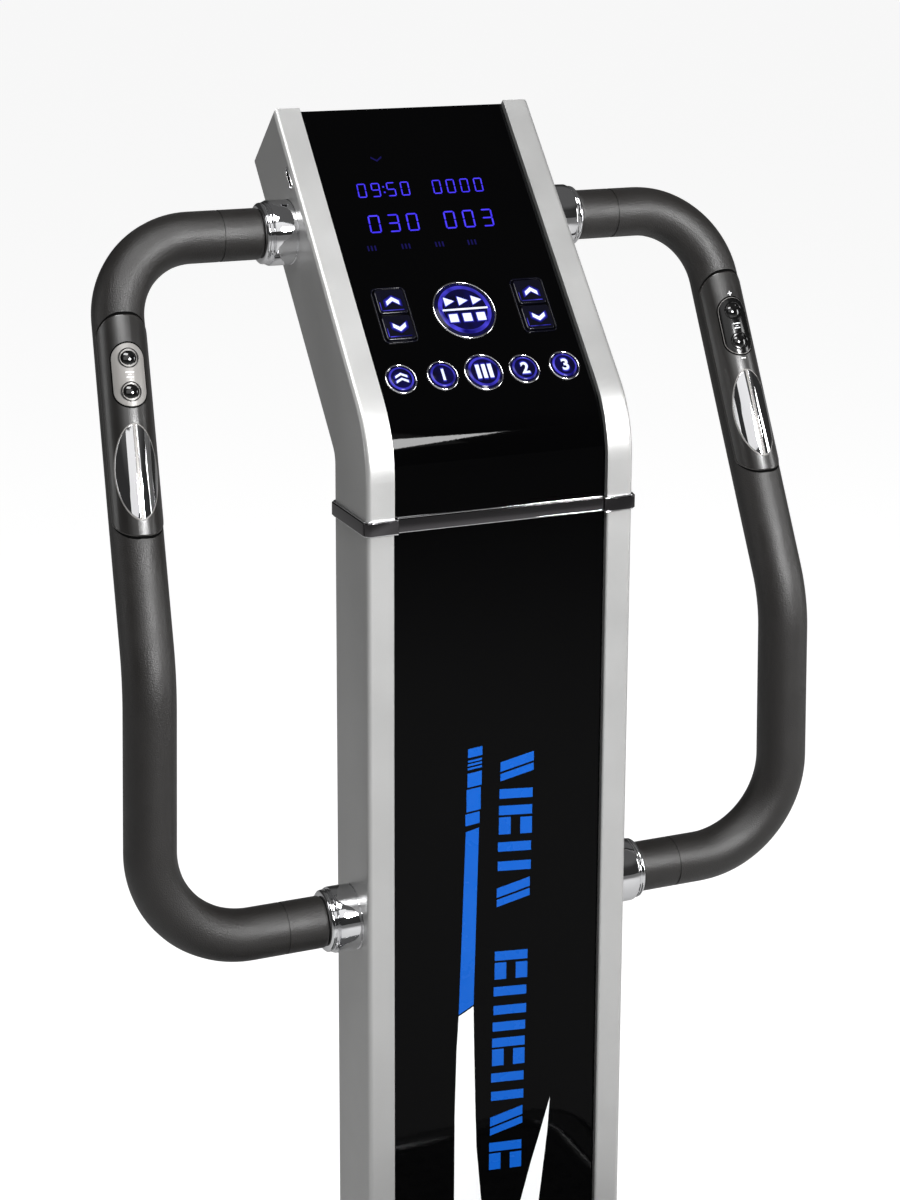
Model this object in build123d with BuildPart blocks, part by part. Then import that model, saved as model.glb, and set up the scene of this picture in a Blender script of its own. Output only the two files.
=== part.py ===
from build123d import *
import os
from math import cos, hypot, pi, radians, sin, tan

os.makedirs("parts", exist_ok=True)

# Vibration plate. Millimetres, +Z up, user on the -Y side, origin on the floor under the
# middle of the whole machine.

# ---- driving dimensions: base ----
base_width = 620.0
base_length = 620.0
base_corner = 60.0
base_taper = 4.0
cover_skirt_z = 12.0
cover_top_z = 128.0
cover_wall = 3.0
foot_height = 20.0
foot_radius = 24.0
foot_inset = 62.0
tray_thickness = 3.0
plate_thickness = 5.0
plate_inset = 26.0
rear_bay = 52.0
foot_chamfer = 3.0
tray_gap = 2.0
cover_round = 16.0
cover_cut = 30.0
opening_corner = 46.0
notch_gap = 10.0
notch_step = 5.0
notch_headroom = 6.0
cut_margin = 5.0

# ---- driving dimensions: platform and drive ----
platform_width = 518.0
platform_length = 350.0
platform_gap = 6.0
platform_margin = 45.0
platform_frame_z = 114.0
platform_sheet = 8.0
deck_thickness = 12.0
mat_thickness = 6.0
pivot_z = 86.0
pivot_radius = 12.0
pivot_hub_radius = 20.0
crank_x = 90.0
belt_headroom = 8.0
shaft_radius = 10.0
eccentric_radius = 14.0
eccentric_throw = 3.5
rod_bore = 22.0
rod_outer = 31.0
rod_width = 20.0
rod_spacing = 140.0
pulley_radius = 36.0
pulley_width = 16.0
motor_x = -70.0
motor_radius = 35.0
motor_length = 120.0
motor_pulley_radius = 15.0
motor_shaft_radius = 8.0
belt_thickness = 2.2
running_gap = 0.05
belt_gap = 0.3
belt_inset = 2.0
belt_setback = 22.0
lug_thickness = 20.0
lug_width = 44.0
lug_crown = 18.0
lug_inset = 40.0
hub_length = 44.0
hub_gap = 2.0
pivot_overhang = 4.0
sheet_side_inset = 25.0
sheet_end_inset = 30.0
sheet_corner = 20.0
rib_height = 8.0
rib_thickness = 6.0
rib_inset = 20.0
deck_corner = 40.0
deck_round = 3.0
mat_inset = 12.0
mat_corner = 30.0
mat_round = 2.0
rod_shank = 26.0
rod_side_gap = 2.0
pillow_thickness = 18.0
pillow_width = 46.0
pillow_gap = 6.0
shaft_overhang = 4.0
pulley_holes = 5
pulley_hole_radius = 6.0
motor_wall = 7.0
motor_foot = 52.5
motor_pulley_gap = 8.0
rotor_end_gap = 4.0
rotor_gap = 2.0
rotor_overhang = 3.0

# ---- driving dimensions: column and head ----
column_width = 240.0
column_depth = 76.0
column_setback = 150.0
rail_width = 24.0
rail_depth = 12.0
side_wall = 5.0
edge_round = 4.0
panel_recess = 5.0
panel_thickness = 3.0
back_cover_thickness = 4.0
fit_gap = 0.2
spine_width = 108.0
spine_depth = 40.0
spine_wall = 3.0
shroud_height = 38.0
shroud_wall = 20.0
shroud_taper = 18.0
shroud_round = 4.0
spine_corner = 6.0
spine_rise = 20.0
spine_foot_thickness = 8.0
spine_foot_side_gap = 2.0
spine_foot_end_gap = 8.0
panel_sink = 8.0
band_z = 950.0
band_height = 13.0
band_proud = 3.0
band_wall = 12.0
band_round = 1.2
head_pitch = 48.0
vertex_rise = 74.0
head_length = 328.0
head_depth = 76.0
bend_radius = 95.0
head_lid_drop = 0.5
lid_thickness = 4.0

# ---- driving dimensions: console ----
start_radius = 25.5
mode_radius = 15.5
preset_radius = 12.0
ring_width = 1.6
ring_proud = 1.4
button_proud = 2.2
button_depth = 17.0
button_gap = 0.4
key_width = 26.0
key_height = 23.5
start_rise = 117.0
preset_rise = 56.0
preset_pitch = 37.0
key_offset = 63.5
display_rise = 217.0
usb_rise = 261.0
usb_depth = 7.8
usb_wide = 20.0
usb_tall = 7.0
usb_deep = 15.0
usb_wall = 1.2
usb_end_wall = 2.5
usb_back_wall = 3.0
tongue_width = 13.0
tongue_thickness = 1.4
tongue_drop = 0.8
tongue_length = 10.0
key_corner = 3.0
key_gap = 1.0
key_border = 2.0
key_frame_corner = 5.0
button_round = 1.6
key_round = 1.0
display_width = 150.0
display_height = 92.0
display_thickness = 11.0
display_corner = 3.0
console_width = 184.0
console_length = 146.0
console_thickness = 1.6
console_shift = 4.0
console_gap = 2.5
console_hole_inset = 6.0
console_hole_radius = 2.0

# ---- driving dimensions: handrails ----
rail_tube_radius = 14.0
rail_tube_wall = 2.0
foam_radius = 22.0
foam_round = 2.0
upper_rise = 228.0
upper_depth = 40.0
upper_reach = 276.0
elbow_reach = 293.0
elbow_drop = 117.0
lower_reach = 298.0
lower_drop = 350.0
lower_depth = 38.0
upper_corner_radius = 70.0
lower_corner_radius = 85.0
elbow_radius = 130.0
collar_radius = 28.0
collar_length = 28.0
collar_lip = 7.0
collar_step = 3.0
screw_radius = 3.0
screw_offset = 10.0
screw_sink = 2.0
hex_radius = 1.5
hex_depth = 2.0
pod_start = 66.0
pod_length = 184.0
pod_width = 39.0
pod_proud = 0.7
pod_corner = 16.0
pod_pocket = 12.0
plate_rise = 117.0
plate_width = 26.0
plate_length = 53.0
pod_button_radius = 7.5
pod_button_depth = 8.0
pod_button_round = 2.5
pod_button_floor = 1.5
pod_seat = 17.0
plate_proud = 0.3
pod_button_pitch = 28.0
pulse_rise = 197.0
pulse_length = 78.0
pulse_width = 33.0
pulse_split = 3.4
pulse_seat = 15.0
pulse_proud = 0.4

# ---- driving dimensions: wheels and inlet ----
wheel_radius = 30.0
wheel_width = 24.0
wheel_x = 225.0
wheel_z = 34.0
wheel_setback = 14.0
axle_radius = 6.0
axle_overhang = 3.0
wheel_gap = 2.0
wheel_lug = 5.0
wheel_round = 5.0
tyre_thickness = 9.0
hub_wall = 5.0
dish_depth = 5.0
lug_reach = 40.0
lug_nose = 9.0
lug_toe = 4.0
lug_rise = 22.0
inlet_x = 60.0
inlet_z = 68.0
flange_width = 84.0
flange_height = 40.0
flange_thickness = 2.5
flange_corner = 4.0
inlet_width = 76.0
inlet_height = 32.0
inlet_depth = 30.0
inlet_gap = 0.3
mouth_offset = 18.0
mouth_width = 25.0
mouth_height = 18.0
mouth_corner = 3.0
mouth_depth = 20.0
pin_width = 2.0
pin_height = 4.0
pin_length = 11.0
pin_pitch = 7.0
pin_drop = 2.0
pin_rise = 3.0
rocker_offset = 22.0
rocker_bay_width = 14.0
rocker_bay_height = 24.0
rocker_bay_depth = 14.0
rocker_width = 12.0
rocker_half_height = 10.0
rocker_heel = 9.5
rocker_inside = 3.0
rocker_outside = 6.0
rocker_dip = 4.4
rocker_sink = 4.0
board_x = -190.0
board_setback = 30.0
board_width = 100.0
board_length = 80.0
board_thickness = 2.0
post_height = 8.0
post_radius = 4.0
post_inset = 10.0
sink_width = 36.0
sink_length = 60.0
sink_offset = 25.0
capacitor_radius = 11.0
capacitor_offset = 28.0
capacitor_setback = 15.0
component_height = 24.0

# ---- worked-out places ----
pitch = radians(head_pitch)
bend_turn = 90 - head_pitch
head_reach = head_length * cos(pitch) + head_depth * sin(pitch)
overall_depth = base_length - column_setback + head_reach
column_y = overall_depth / 2 - head_reach
base_front_y = -overall_depth / 2
base_back_y = base_front_y + base_length
base_y = (base_front_y + base_back_y) / 2
tray_z = foot_height
plate_z = tray_z + tray_thickness
floor_z = plate_z + plate_thickness
crank_z = floor_z + pulley_radius + belt_headroom
platform_y = base_front_y + platform_margin + platform_length / 2
deck_z = platform_frame_z + platform_sheet
mat_z = deck_z + deck_thickness
belt_y = platform_y + platform_length / 2 + belt_setback
motor_y = belt_y - pulley_width / 2 - motor_pulley_gap - motor_length / 2
band_low = band_z - band_height / 2
band_high = band_z + band_height / 2
half_column = column_width / 2
rail_inner = half_column - rail_width
bend_z = band_z + vertex_rise - bend_radius * tan(radians(bend_turn / 2))
column_mid_y = column_y + column_depth / 2
notch_width = wheel_width + 2 * notch_gap
plate_back_y = base_back_y - rear_bay
wheel_y = base_back_y - wheel_setback
pivot_lugs = (platform_y - platform_length / 2 + lug_inset, platform_y + platform_length / 2 - lug_inset)
pivot_span = pivot_lugs[1] - pivot_lugs[0]
hub_front_y = pivot_lugs[0] + lug_thickness / 2 + hub_gap
hub_back_y = pivot_lugs[1] - lug_thickness / 2 - hub_gap - hub_length
sheet_width = platform_width - 2 * sheet_side_inset
sheet_length = platform_length - 2 * sheet_end_inset
rod_places = (platform_y - rod_spacing / 2, platform_y + rod_spacing / 2)
pillow_front_y = rod_places[0] - rod_width / 2 - pillow_gap - pillow_thickness
pillow_back_y = rod_places[1] + rod_width / 2 + pillow_gap
shaft_start = pillow_front_y - shaft_overhang
shaft_end = belt_y + pulley_width / 2 + shaft_overhang
motor_start = motor_y - motor_length / 2
panel_foot_z = cover_top_z - panel_sink
head_lid = head_length - head_lid_drop


def head_place(rise, depth):
    """Y and Z of a point on the head: distance up the slope, and depth below its face."""
    y = column_y + rise * cos(pitch) + depth * sin(pitch)
    z = band_z + vertex_rise + rise * sin(pitch) - depth * cos(pitch)
    return y, z


def head_plane(x, rise, depth):
    """Plane parallel to the head's face: local x to the right, local y up the slope."""
    y, z = head_place(rise, depth)
    return Plane(origin=(x, y, z), x_dir=(1, 0, 0), z_dir=(0, -sin(pitch), cos(pitch)))


def head_section(x, near, far, low, top):
    """Side-on outline of the bent head between two depths, standing at x."""
    centre = (column_y + bend_radius, bend_z)
    near_radius = bend_radius - near
    far_radius = bend_radius - far
    with BuildSketch(Plane.YZ.offset(x)) as section:
        with BuildLine():
            Line((column_y + near, low), (column_y + near, bend_z))
            CenterArc(centre, near_radius, 180, -bend_turn)
            Polyline(
                (centre[0] - near_radius * sin(pitch), bend_z + near_radius * cos(pitch)),
                head_place(top, near),
                head_place(top, far),
                (centre[0] - far_radius * sin(pitch), bend_z + far_radius * cos(pitch)),
            )
            CenterArc(centre, far_radius, 180, -bend_turn)
            Polyline((column_y + far, bend_z), (column_y + far, low), (column_y + near, low))
        make_face()
    return section.sketch


# ---- base: feet, tray and steel plate ----
foot_places = [
    (side * (base_width / 2 - foot_inset), y)
    for side in (-1, 1)
    for y in (base_front_y + foot_inset, base_back_y - foot_inset - rear_bay / 2)
]
with BuildPart() as rubber_feet:
    with BuildSketch(Plane.XY):
        with Locations(*foot_places):
            Circle(foot_radius)
    extrude(amount=foot_height)
    chamfer(rubber_feet.edges().group_by(Axis.Z)[0], foot_chamfer)
rubber_feet.part.label = "rubber_feet"
export_step(rubber_feet.part, "parts/rubber_feet.step")

tray_inset = cover_wall + tray_gap
with BuildPart() as base_tray:
    with BuildSketch(Plane.XY.offset(tray_z)):
        with Locations((0, base_y)):
            RectangleRounded(
                base_width - 2 * tray_inset, base_length - 2 * tray_inset, base_corner - tray_inset
            )
        with Locations(*[(side * wheel_x, base_back_y) for side in (-1, 1)]):
            Rectangle(notch_width, 2 * rear_bay, mode=Mode.SUBTRACT)
    extrude(amount=tray_thickness)
base_tray.part.label = "base_tray"
export_step(base_tray.part, "parts/base_tray.step")

with BuildPart() as base_frame:
    with BuildSketch(Plane.XY.offset(plate_z)):
        with Locations((0, (base_front_y + plate_inset + plate_back_y) / 2)):
            Rectangle(base_width - 2 * plate_inset, plate_back_y - base_front_y - plate_inset)
    extrude(amount=plate_thickness)
    for lug_y in pivot_lugs:
        with BuildSketch(Plane.XZ.offset(-lug_y - lug_thickness / 2)):
            with Locations((0, (floor_z - 1 + pivot_z) / 2)):
                Rectangle(lug_width, pivot_z - floor_z + 1)
            with Locations((0, pivot_z)):
                Circle(lug_crown)
            with Locations((0, pivot_z)):
                Circle(pivot_radius, mode=Mode.SUBTRACT)
        extrude(amount=lug_thickness)
    for wheel_side in (-1, 1):
        for lug_side in (-1, 1):
            lug_x = wheel_side * wheel_x + lug_side * (wheel_width / 2 + wheel_gap + wheel_lug / 2)
            with BuildSketch(Plane.YZ.offset(lug_x - wheel_lug / 2)):
                with BuildLine():
                    Polyline(
                        (plate_back_y - lug_reach, plate_z),
                        (plate_back_y, plate_z),
                        (wheel_y + lug_toe, wheel_z - lug_nose),
                        (wheel_y + lug_nose, wheel_z + lug_nose),
                        (plate_back_y, floor_z + lug_rise),
                        (plate_back_y - lug_reach, floor_z),
                        close=True,
                    )
                make_face()
                with Locations((wheel_y, wheel_z)):
                    Circle(axle_radius, mode=Mode.SUBTRACT)
            extrude(amount=wheel_lug)
base_frame.part.label = "base_frame"
export_step(base_frame.part, "parts/base_frame.step")

# ---- base: moulded cover, shroud round the column's foot ----
with BuildPart() as base_cover:
    with BuildSketch(Plane.XY.offset(cover_skirt_z)):
        with Locations((0, base_y)):
            RectangleRounded(base_width, base_length, base_corner)
    extrude(amount=cover_top_z - cover_skirt_z, taper=base_taper)
    fillet(base_cover.edges().group_by(Axis.Z)[-1], cover_round)
    offset(amount=-cover_wall, openings=base_cover.faces().sort_by(Axis.Z)[0])
    with BuildSketch(Plane.XY.offset(cover_top_z + cut_margin)):
        with Locations((0, platform_y)):
            RectangleRounded(
                platform_width + 2 * platform_gap, platform_length + 2 * platform_gap, opening_corner
            )
        with Locations((0, column_mid_y)):
            Rectangle(column_width + 2 * fit_gap, column_depth + 2 * fit_gap)
    extrude(amount=-cover_cut, mode=Mode.SUBTRACT)
    with BuildSketch(Plane.XY):
        with Locations(*[(side * wheel_x, base_back_y) for side in (-1, 1)]):
            Rectangle(notch_width, 2 * (rear_bay - notch_step))
    extrude(amount=wheel_z + wheel_radius + notch_headroom, mode=Mode.SUBTRACT)
    with BuildSketch(Plane.XZ.offset(-base_back_y - cut_margin)):
        with Locations((inlet_x, inlet_z)):
            Rectangle(inlet_width + 2 * inlet_gap, inlet_height + 2 * inlet_gap)
    extrude(amount=rear_bay, mode=Mode.SUBTRACT)
base_cover.part.label = "base_cover"
export_step(base_cover.part, "parts/base_cover.step")

with BuildPart() as column_shroud:
    with BuildSketch(Plane.XY.offset(cover_top_z)):
        with Locations((0, column_mid_y)):
            RectangleRounded(column_width + 2 * shroud_wall, column_depth + 2 * shroud_wall, shroud_wall)
    extrude(amount=shroud_height, taper=shroud_taper)
    fillet(column_shroud.edges().group_by(Axis.Z)[-1], shroud_round)
    with BuildSketch(Plane.XY.offset(cover_top_z)):
        with Locations((0, column_mid_y)):
            Rectangle(column_width + 2 * fit_gap, column_depth + 2 * fit_gap)
    extrude(amount=shroud_height, mode=Mode.SUBTRACT)
column_shroud.part.label = "column_shroud"
export_step(column_shroud.part, "parts/column_shroud.step")

# ---- transport wheels and axles ----
with BuildPart() as wheel_axles:
    for side in (-1, 1):
        axle_length = wheel_width + 2 * (wheel_gap + wheel_lug + axle_overhang)
        with BuildSketch(Plane.YZ.offset(side * wheel_x - axle_length / 2)):
            with Locations((wheel_y, wheel_z)):
                Circle(axle_radius)
        extrude(amount=axle_length)
wheel_axles.part.label = "wheel_axles"
export_step(wheel_axles.part, "parts/wheel_axles.step")

for side, name in ((-1, "wheel_left"), (1, "wheel_right")):
    with BuildPart() as wheel:
        with BuildSketch(Plane.YZ.offset(side * wheel_x - wheel_width / 2)):
            with Locations((wheel_y, wheel_z)):
                Circle(wheel_radius)
                Circle(axle_radius + running_gap, mode=Mode.SUBTRACT)
        extrude(amount=wheel_width)
        fillet(wheel.edges().filter_by(lambda e: e.length > 6 * wheel_radius), wheel_round)
        for face_side in (-1, 1):
            with BuildSketch(Plane.YZ.offset(side * wheel_x + face_side * wheel_width / 2)):
                with Locations((wheel_y, wheel_z)):
                    Circle(wheel_radius - tyre_thickness)
                    Circle(axle_radius + hub_wall, mode=Mode.SUBTRACT)
            extrude(amount=-face_side * dish_depth, mode=Mode.SUBTRACT)
    wheel.part.label = name
    export_step(wheel.part, f"parts/{name}.step")

# ---- platform: pivot shaft, steel sheet, deck, mat ----
with BuildPart() as pivot_shaft:
    with BuildSketch(Plane.XZ.offset(-pivot_lugs[0] + lug_thickness / 2 + pivot_overhang)):
        with Locations((0, pivot_z)):
            Circle(pivot_radius)
    extrude(amount=-(pivot_span + lug_thickness + 2 * pivot_overhang))
pivot_shaft.part.label = "pivot_shaft"
export_step(pivot_shaft.part, "parts/pivot_shaft.step")

with BuildPart() as platform_frame:
    with BuildSketch(Plane.XY.offset(platform_frame_z)):
        with Locations((0, platform_y)):
            RectangleRounded(sheet_width, sheet_length, sheet_corner)
    extrude(amount=platform_sheet)
    with BuildSketch(Plane.XY.offset(platform_frame_z)):
        with Locations(*[(side * (sheet_width / 2 - rib_inset), platform_y) for side in (-1, 1)]):
            Rectangle(rib_thickness, sheet_length - 2 * rib_inset)
    extrude(amount=-rib_height)
    for hub_y in (hub_front_y, hub_back_y):
        with BuildSketch(Plane.XZ.offset(-hub_y)):
            with Locations((0, pivot_z)):
                Circle(pivot_hub_radius)
            with Locations((0, (pivot_z + platform_frame_z + 1) / 2)):
                Rectangle(pivot_hub_radius, platform_frame_z + 1 - pivot_z)
            with Locations((0, pivot_z)):
                Circle(pivot_radius + running_gap, mode=Mode.SUBTRACT)
        extrude(amount=-hub_length)
platform_frame.part.label = "platform_frame"
export_step(platform_frame.part, "parts/platform_frame.step")

with BuildPart() as platform_deck:
    with BuildSketch(Plane.XY.offset(deck_z)):
        with Locations((0, platform_y)):
            RectangleRounded(platform_width, platform_length, deck_corner)
    extrude(amount=deck_thickness)
    fillet(platform_deck.edges().group_by(Axis.Z)[-1], deck_round)
platform_deck.part.label = "platform_deck"
export_step(platform_deck.part, "parts/platform_deck.step")

with BuildPart() as platform_mat:
    with BuildSketch(Plane.XY.offset(mat_z)):
        with Locations((0, platform_y)):
            RectangleRounded(platform_width - 2 * mat_inset, platform_length - 2 * mat_inset, mat_corner)
    extrude(amount=mat_thickness)
    fillet(platform_mat.edges().group_by(Axis.Z)[-1], mat_round)
platform_mat.part.label = "platform_mat"
export_step(platform_mat.part, "parts/platform_mat.step")

# ---- drive: rods, crankshaft, pulleys, belt, motor ----
with BuildPart() as connecting_rods:
    for rod_y in rod_places:
        with BuildSketch(Plane.XZ.offset(-rod_y - rod_width / 2)):
            with Locations((crank_x, crank_z)):
                Circle(rod_outer)
            with Locations((crank_x, (crank_z + platform_frame_z) / 2)):
                Rectangle(rod_shank, platform_frame_z - crank_z)
            with Locations((crank_x, crank_z)):
                Circle(rod_bore, mode=Mode.SUBTRACT)
        extrude(amount=rod_width)
connecting_rods.part.label = "connecting_rods"
export_step(connecting_rods.part, "parts/connecting_rods.step")

with BuildPart() as crankshaft:
    with BuildSketch(Plane.XZ.offset(-shaft_start)):
        with Locations((crank_x, crank_z)):
            Circle(shaft_radius)
    extrude(amount=-(shaft_end - shaft_start))
    for rod_y in rod_places:
        with BuildSketch(Plane.XZ.offset(-rod_y - rod_width / 2 - rod_side_gap)):
            with Locations((crank_x + eccentric_throw, crank_z)):
                Circle(eccentric_radius)
        extrude(amount=rod_width + 2 * rod_side_gap)
crankshaft.part.label = "crankshaft"
export_step(crankshaft.part, "parts/crankshaft.step")

with BuildPart() as crank_pulley:
    with BuildSketch(Plane.XZ.offset(-belt_y - pulley_width / 2)):
        with Locations((crank_x, crank_z)):
            Circle(pulley_radius)
            Circle(shaft_radius, mode=Mode.SUBTRACT)
        with Locations((crank_x, crank_z)):
            with PolarLocations((pulley_radius + shaft_radius) / 2, pulley_holes):
                Circle(pulley_hole_radius, mode=Mode.SUBTRACT)
    extrude(amount=pulley_width)
crank_pulley.part.label = "crank_pulley"
export_step(crank_pulley.part, "parts/crank_pulley.step")

with BuildPart() as pillow_blocks:
    for pillow_y in (pillow_front_y, pillow_back_y):
        with BuildSketch(Plane.XZ.offset(-pillow_y)):
            with Locations((crank_x, (floor_z + crank_z) / 2)):
                Rectangle(pillow_width, crank_z - floor_z)
            with Locations((crank_x, crank_z)):
                Circle(pillow_width / 2)
                Circle(shaft_radius + running_gap, mode=Mode.SUBTRACT)
        extrude(amount=-pillow_thickness)
pillow_blocks.part.label = "pillow_blocks"
export_step(pillow_blocks.part, "parts/pillow_blocks.step")

with BuildPart() as motor_body:
    with BuildSketch(Plane.XZ.offset(-motor_start)):
        with Locations((motor_x, crank_z)):
            Circle(motor_radius)
        with Locations((motor_x, (floor_z + crank_z) / 2)):
            Rectangle(motor_foot, crank_z - floor_z)
    extrude(amount=-motor_length)
    with BuildSketch(Plane.XZ.offset(-motor_start - motor_wall)):
        with Locations((motor_x, crank_z)):
            Circle(motor_radius - motor_wall)
    extrude(amount=-(motor_length - 2 * motor_wall), mode=Mode.SUBTRACT)
    with BuildSketch(Plane.XZ.offset(-motor_start)):
        with Locations((motor_x, crank_z)):
            Circle(motor_shaft_radius + running_gap)
    extrude(amount=-motor_length, mode=Mode.SUBTRACT)
motor_body.part.label = "motor_body"
export_step(motor_body.part, "parts/motor_body.step")

with BuildPart() as motor_rotor:
    with BuildSketch(Plane.XZ.offset(-motor_start)):
        with Locations((motor_x, crank_z)):
            Circle(motor_shaft_radius)
    extrude(amount=-(belt_y + pulley_width / 2 + rotor_overhang - motor_start))
    with BuildSketch(Plane.XZ.offset(-motor_start - motor_wall - rotor_end_gap)):
        with Locations((motor_x, crank_z)):
            Circle(motor_radius - motor_wall - rotor_gap)
    extrude(amount=-(motor_length - 2 * motor_wall - 2 * rotor_end_gap))
    with BuildSketch(Plane.XZ.offset(-belt_y - pulley_width / 2)):
        with Locations((motor_x, crank_z)):
            Circle(motor_pulley_radius)
    extrude(amount=pulley_width)
motor_rotor.part.label = "motor_rotor"
export_step(motor_rotor.part, "parts/motor_rotor.step")

belt_width = pulley_width - 2 * belt_inset
with BuildPart() as drive_belt:
    for grow, belt_mode in ((belt_gap + belt_thickness, Mode.ADD), (belt_gap, Mode.SUBTRACT)):
        with BuildSketch(Plane.XZ.offset(-belt_y - belt_width / 2)):
            with Locations((crank_x, crank_z)):
                Circle(pulley_radius + grow)
            with Locations((motor_x, crank_z)):
                Circle(motor_pulley_radius + grow)
            make_hull()
        extrude(amount=belt_width, mode=belt_mode)
drive_belt.part.label = "drive_belt"
export_step(drive_belt.part, "parts/drive_belt.step")

# ---- electrics in the base ----
board_y = column_y - board_setback
with BuildPart() as drive_board:
    with BuildSketch(Plane.XY.offset(floor_z)):
        with Locations((board_x, board_y)):
            with GridLocations(board_width - 2 * post_inset, board_length - 2 * post_inset, 2, 2):
                Circle(post_radius)
    extrude(amount=post_height)
    with BuildSketch(Plane.XY.offset(floor_z + post_height)):
        with Locations((board_x, board_y)):
            Rectangle(board_width, board_length)
    extrude(amount=board_thickness)
    with BuildSketch(Plane.XY.offset(floor_z + post_height + board_thickness)):
        with Locations((board_x - sink_offset, board_y)):
            Rectangle(sink_width, sink_length)
        with Locations((board_x + capacitor_offset, board_y - capacitor_setback)):
            Circle(capacitor_radius)
    extrude(amount=component_height)
drive_board.part.label = "drive_board"
export_step(drive_board.part, "parts/drive_board.step")

face_lean = (inlet_z - flange_height / 2 - cover_skirt_z) * tan(radians(base_taper))
inlet_front_y = base_back_y - face_lean + flange_thickness + fit_gap
mouth_x = inlet_x - mouth_offset
rocker_x = inlet_x + rocker_offset
with BuildPart() as power_inlet:
    with BuildSketch(Plane.XZ.offset(-inlet_front_y)):
        with Locations((inlet_x, inlet_z)):
            RectangleRounded(flange_width, flange_height, flange_corner)
    extrude(amount=flange_thickness)
    with BuildSketch(Plane.XZ.offset(-inlet_front_y)):
        with Locations((inlet_x, inlet_z)):
            Rectangle(inlet_width, inlet_height)
    extrude(amount=inlet_depth)
    with BuildSketch(Plane.XZ.offset(-inlet_front_y)):
        with Locations((mouth_x, inlet_z)):
            RectangleRounded(mouth_width, mouth_height, mouth_corner)
    extrude(amount=mouth_depth, mode=Mode.SUBTRACT)
    with BuildSketch(Plane.XZ.offset(-inlet_front_y + mouth_depth)):
        with Locations(
            (mouth_x - pin_pitch, inlet_z - pin_drop),
            (mouth_x + pin_pitch, inlet_z - pin_drop),
            (mouth_x, inlet_z + pin_rise),
        ):
            Rectangle(pin_width, pin_height)
    extrude(amount=-pin_length)
    with BuildSketch(Plane.XZ.offset(-inlet_front_y)):
        with Locations((rocker_x, inlet_z)):
            Rectangle(rocker_bay_width, rocker_bay_height)
    extrude(amount=rocker_bay_depth, mode=Mode.SUBTRACT)
power_inlet.part.label = "power_inlet"
export_step(power_inlet.part, "parts/power_inlet.step")

rocker_pivot_y = inlet_front_y - rocker_sink
with BuildPart() as power_switch:
    with BuildSketch(Plane.YZ.offset(rocker_x - rocker_width / 2)):
        with BuildLine():
            Polyline(
                (rocker_pivot_y - rocker_inside, inlet_z - rocker_heel),
                (rocker_pivot_y + rocker_outside, inlet_z - rocker_half_height),
                (rocker_pivot_y + rocker_dip, inlet_z),
                (rocker_pivot_y + rocker_outside, inlet_z + rocker_half_height),
                (rocker_pivot_y - rocker_inside, inlet_z + rocker_heel),
                close=True,
            )
        make_face()
    extrude(amount=rocker_width)
power_switch.part.label = "power_switch"
export_step(power_switch.part, "parts/power_switch.step")

# ---- column ----
with BuildPart() as column_spine:
    with BuildSketch(Plane.XY.offset(floor_z)):
        with Locations((0, column_mid_y)):
            RectangleRounded(spine_width, spine_depth, spine_corner)
            RectangleRounded(
                spine_width - 2 * spine_wall,
                spine_depth - 2 * spine_wall,
                spine_corner - spine_wall,
                mode=Mode.SUBTRACT,
            )
    extrude(amount=band_high + spine_rise - floor_z)
    with BuildSketch(Plane.XY.offset(floor_z)):
        with Locations((0, column_mid_y)):
            Rectangle(2 * (rail_inner - spine_foot_side_gap), column_depth - 2 * spine_foot_end_gap)
            Rectangle(spine_width - 2 * spine_wall, spine_depth - 2 * spine_wall, mode=Mode.SUBTRACT)
    extrude(amount=spine_foot_thickness)
column_spine.part.label = "column_spine"
export_step(column_spine.part, "parts/column_spine.step")

for side, name in ((-1, "column_left_profile"), (1, "column_right_profile")):
    with BuildPart() as profile:
        with BuildSketch(Plane.XY.offset(floor_z)):
            with Locations((side * (half_column - rail_width / 2), column_y + rail_depth / 2)):
                Rectangle(rail_width, rail_depth)
            with Locations((side * (half_column - side_wall / 2), column_mid_y)):
                Rectangle(side_wall, column_depth)
        extrude(amount=band_low - floor_z)
        front_edges = profile.edges().filter_by(Axis.Z).group_by(Axis.Y)[0]
        fillet(front_edges.sort_by(Axis.X)[0 if side < 0 else -1], edge_round)
        fillet(front_edges.sort_by(Axis.X)[-1 if side < 0 else 0], edge_round / 2)
        back_edges = profile.edges().filter_by(Axis.Z).group_by(Axis.Y)[-1]
        fillet(back_edges.sort_by(Axis.X)[0 if side < 0 else -1], edge_round)
    profile.part.label = name
    export_step(profile.part, f"parts/{name}.step")

with BuildPart() as column_front_panel:
    with BuildSketch(Plane.XY.offset(panel_foot_z)):
        with Locations((0, column_y + panel_recess + panel_thickness / 2)):
            Rectangle(2 * rail_inner - 2 * fit_gap, panel_thickness)
    extrude(amount=band_low - panel_foot_z)
column_front_panel.part.label = "column_front_panel"
export_step(column_front_panel.part, "parts/column_front_panel.step")

with BuildPart() as column_back_cover:
    with BuildSketch(Plane.XY.offset(panel_foot_z)):
        with Locations((0, column_y + column_depth - back_cover_thickness / 2)):
            Rectangle(column_width - 2 * side_wall - 2 * fit_gap, back_cover_thickness)
    extrude(amount=band_low - panel_foot_z)
column_back_cover.part.label = "column_back_cover"
export_step(column_back_cover.part, "parts/column_back_cover.step")

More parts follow.
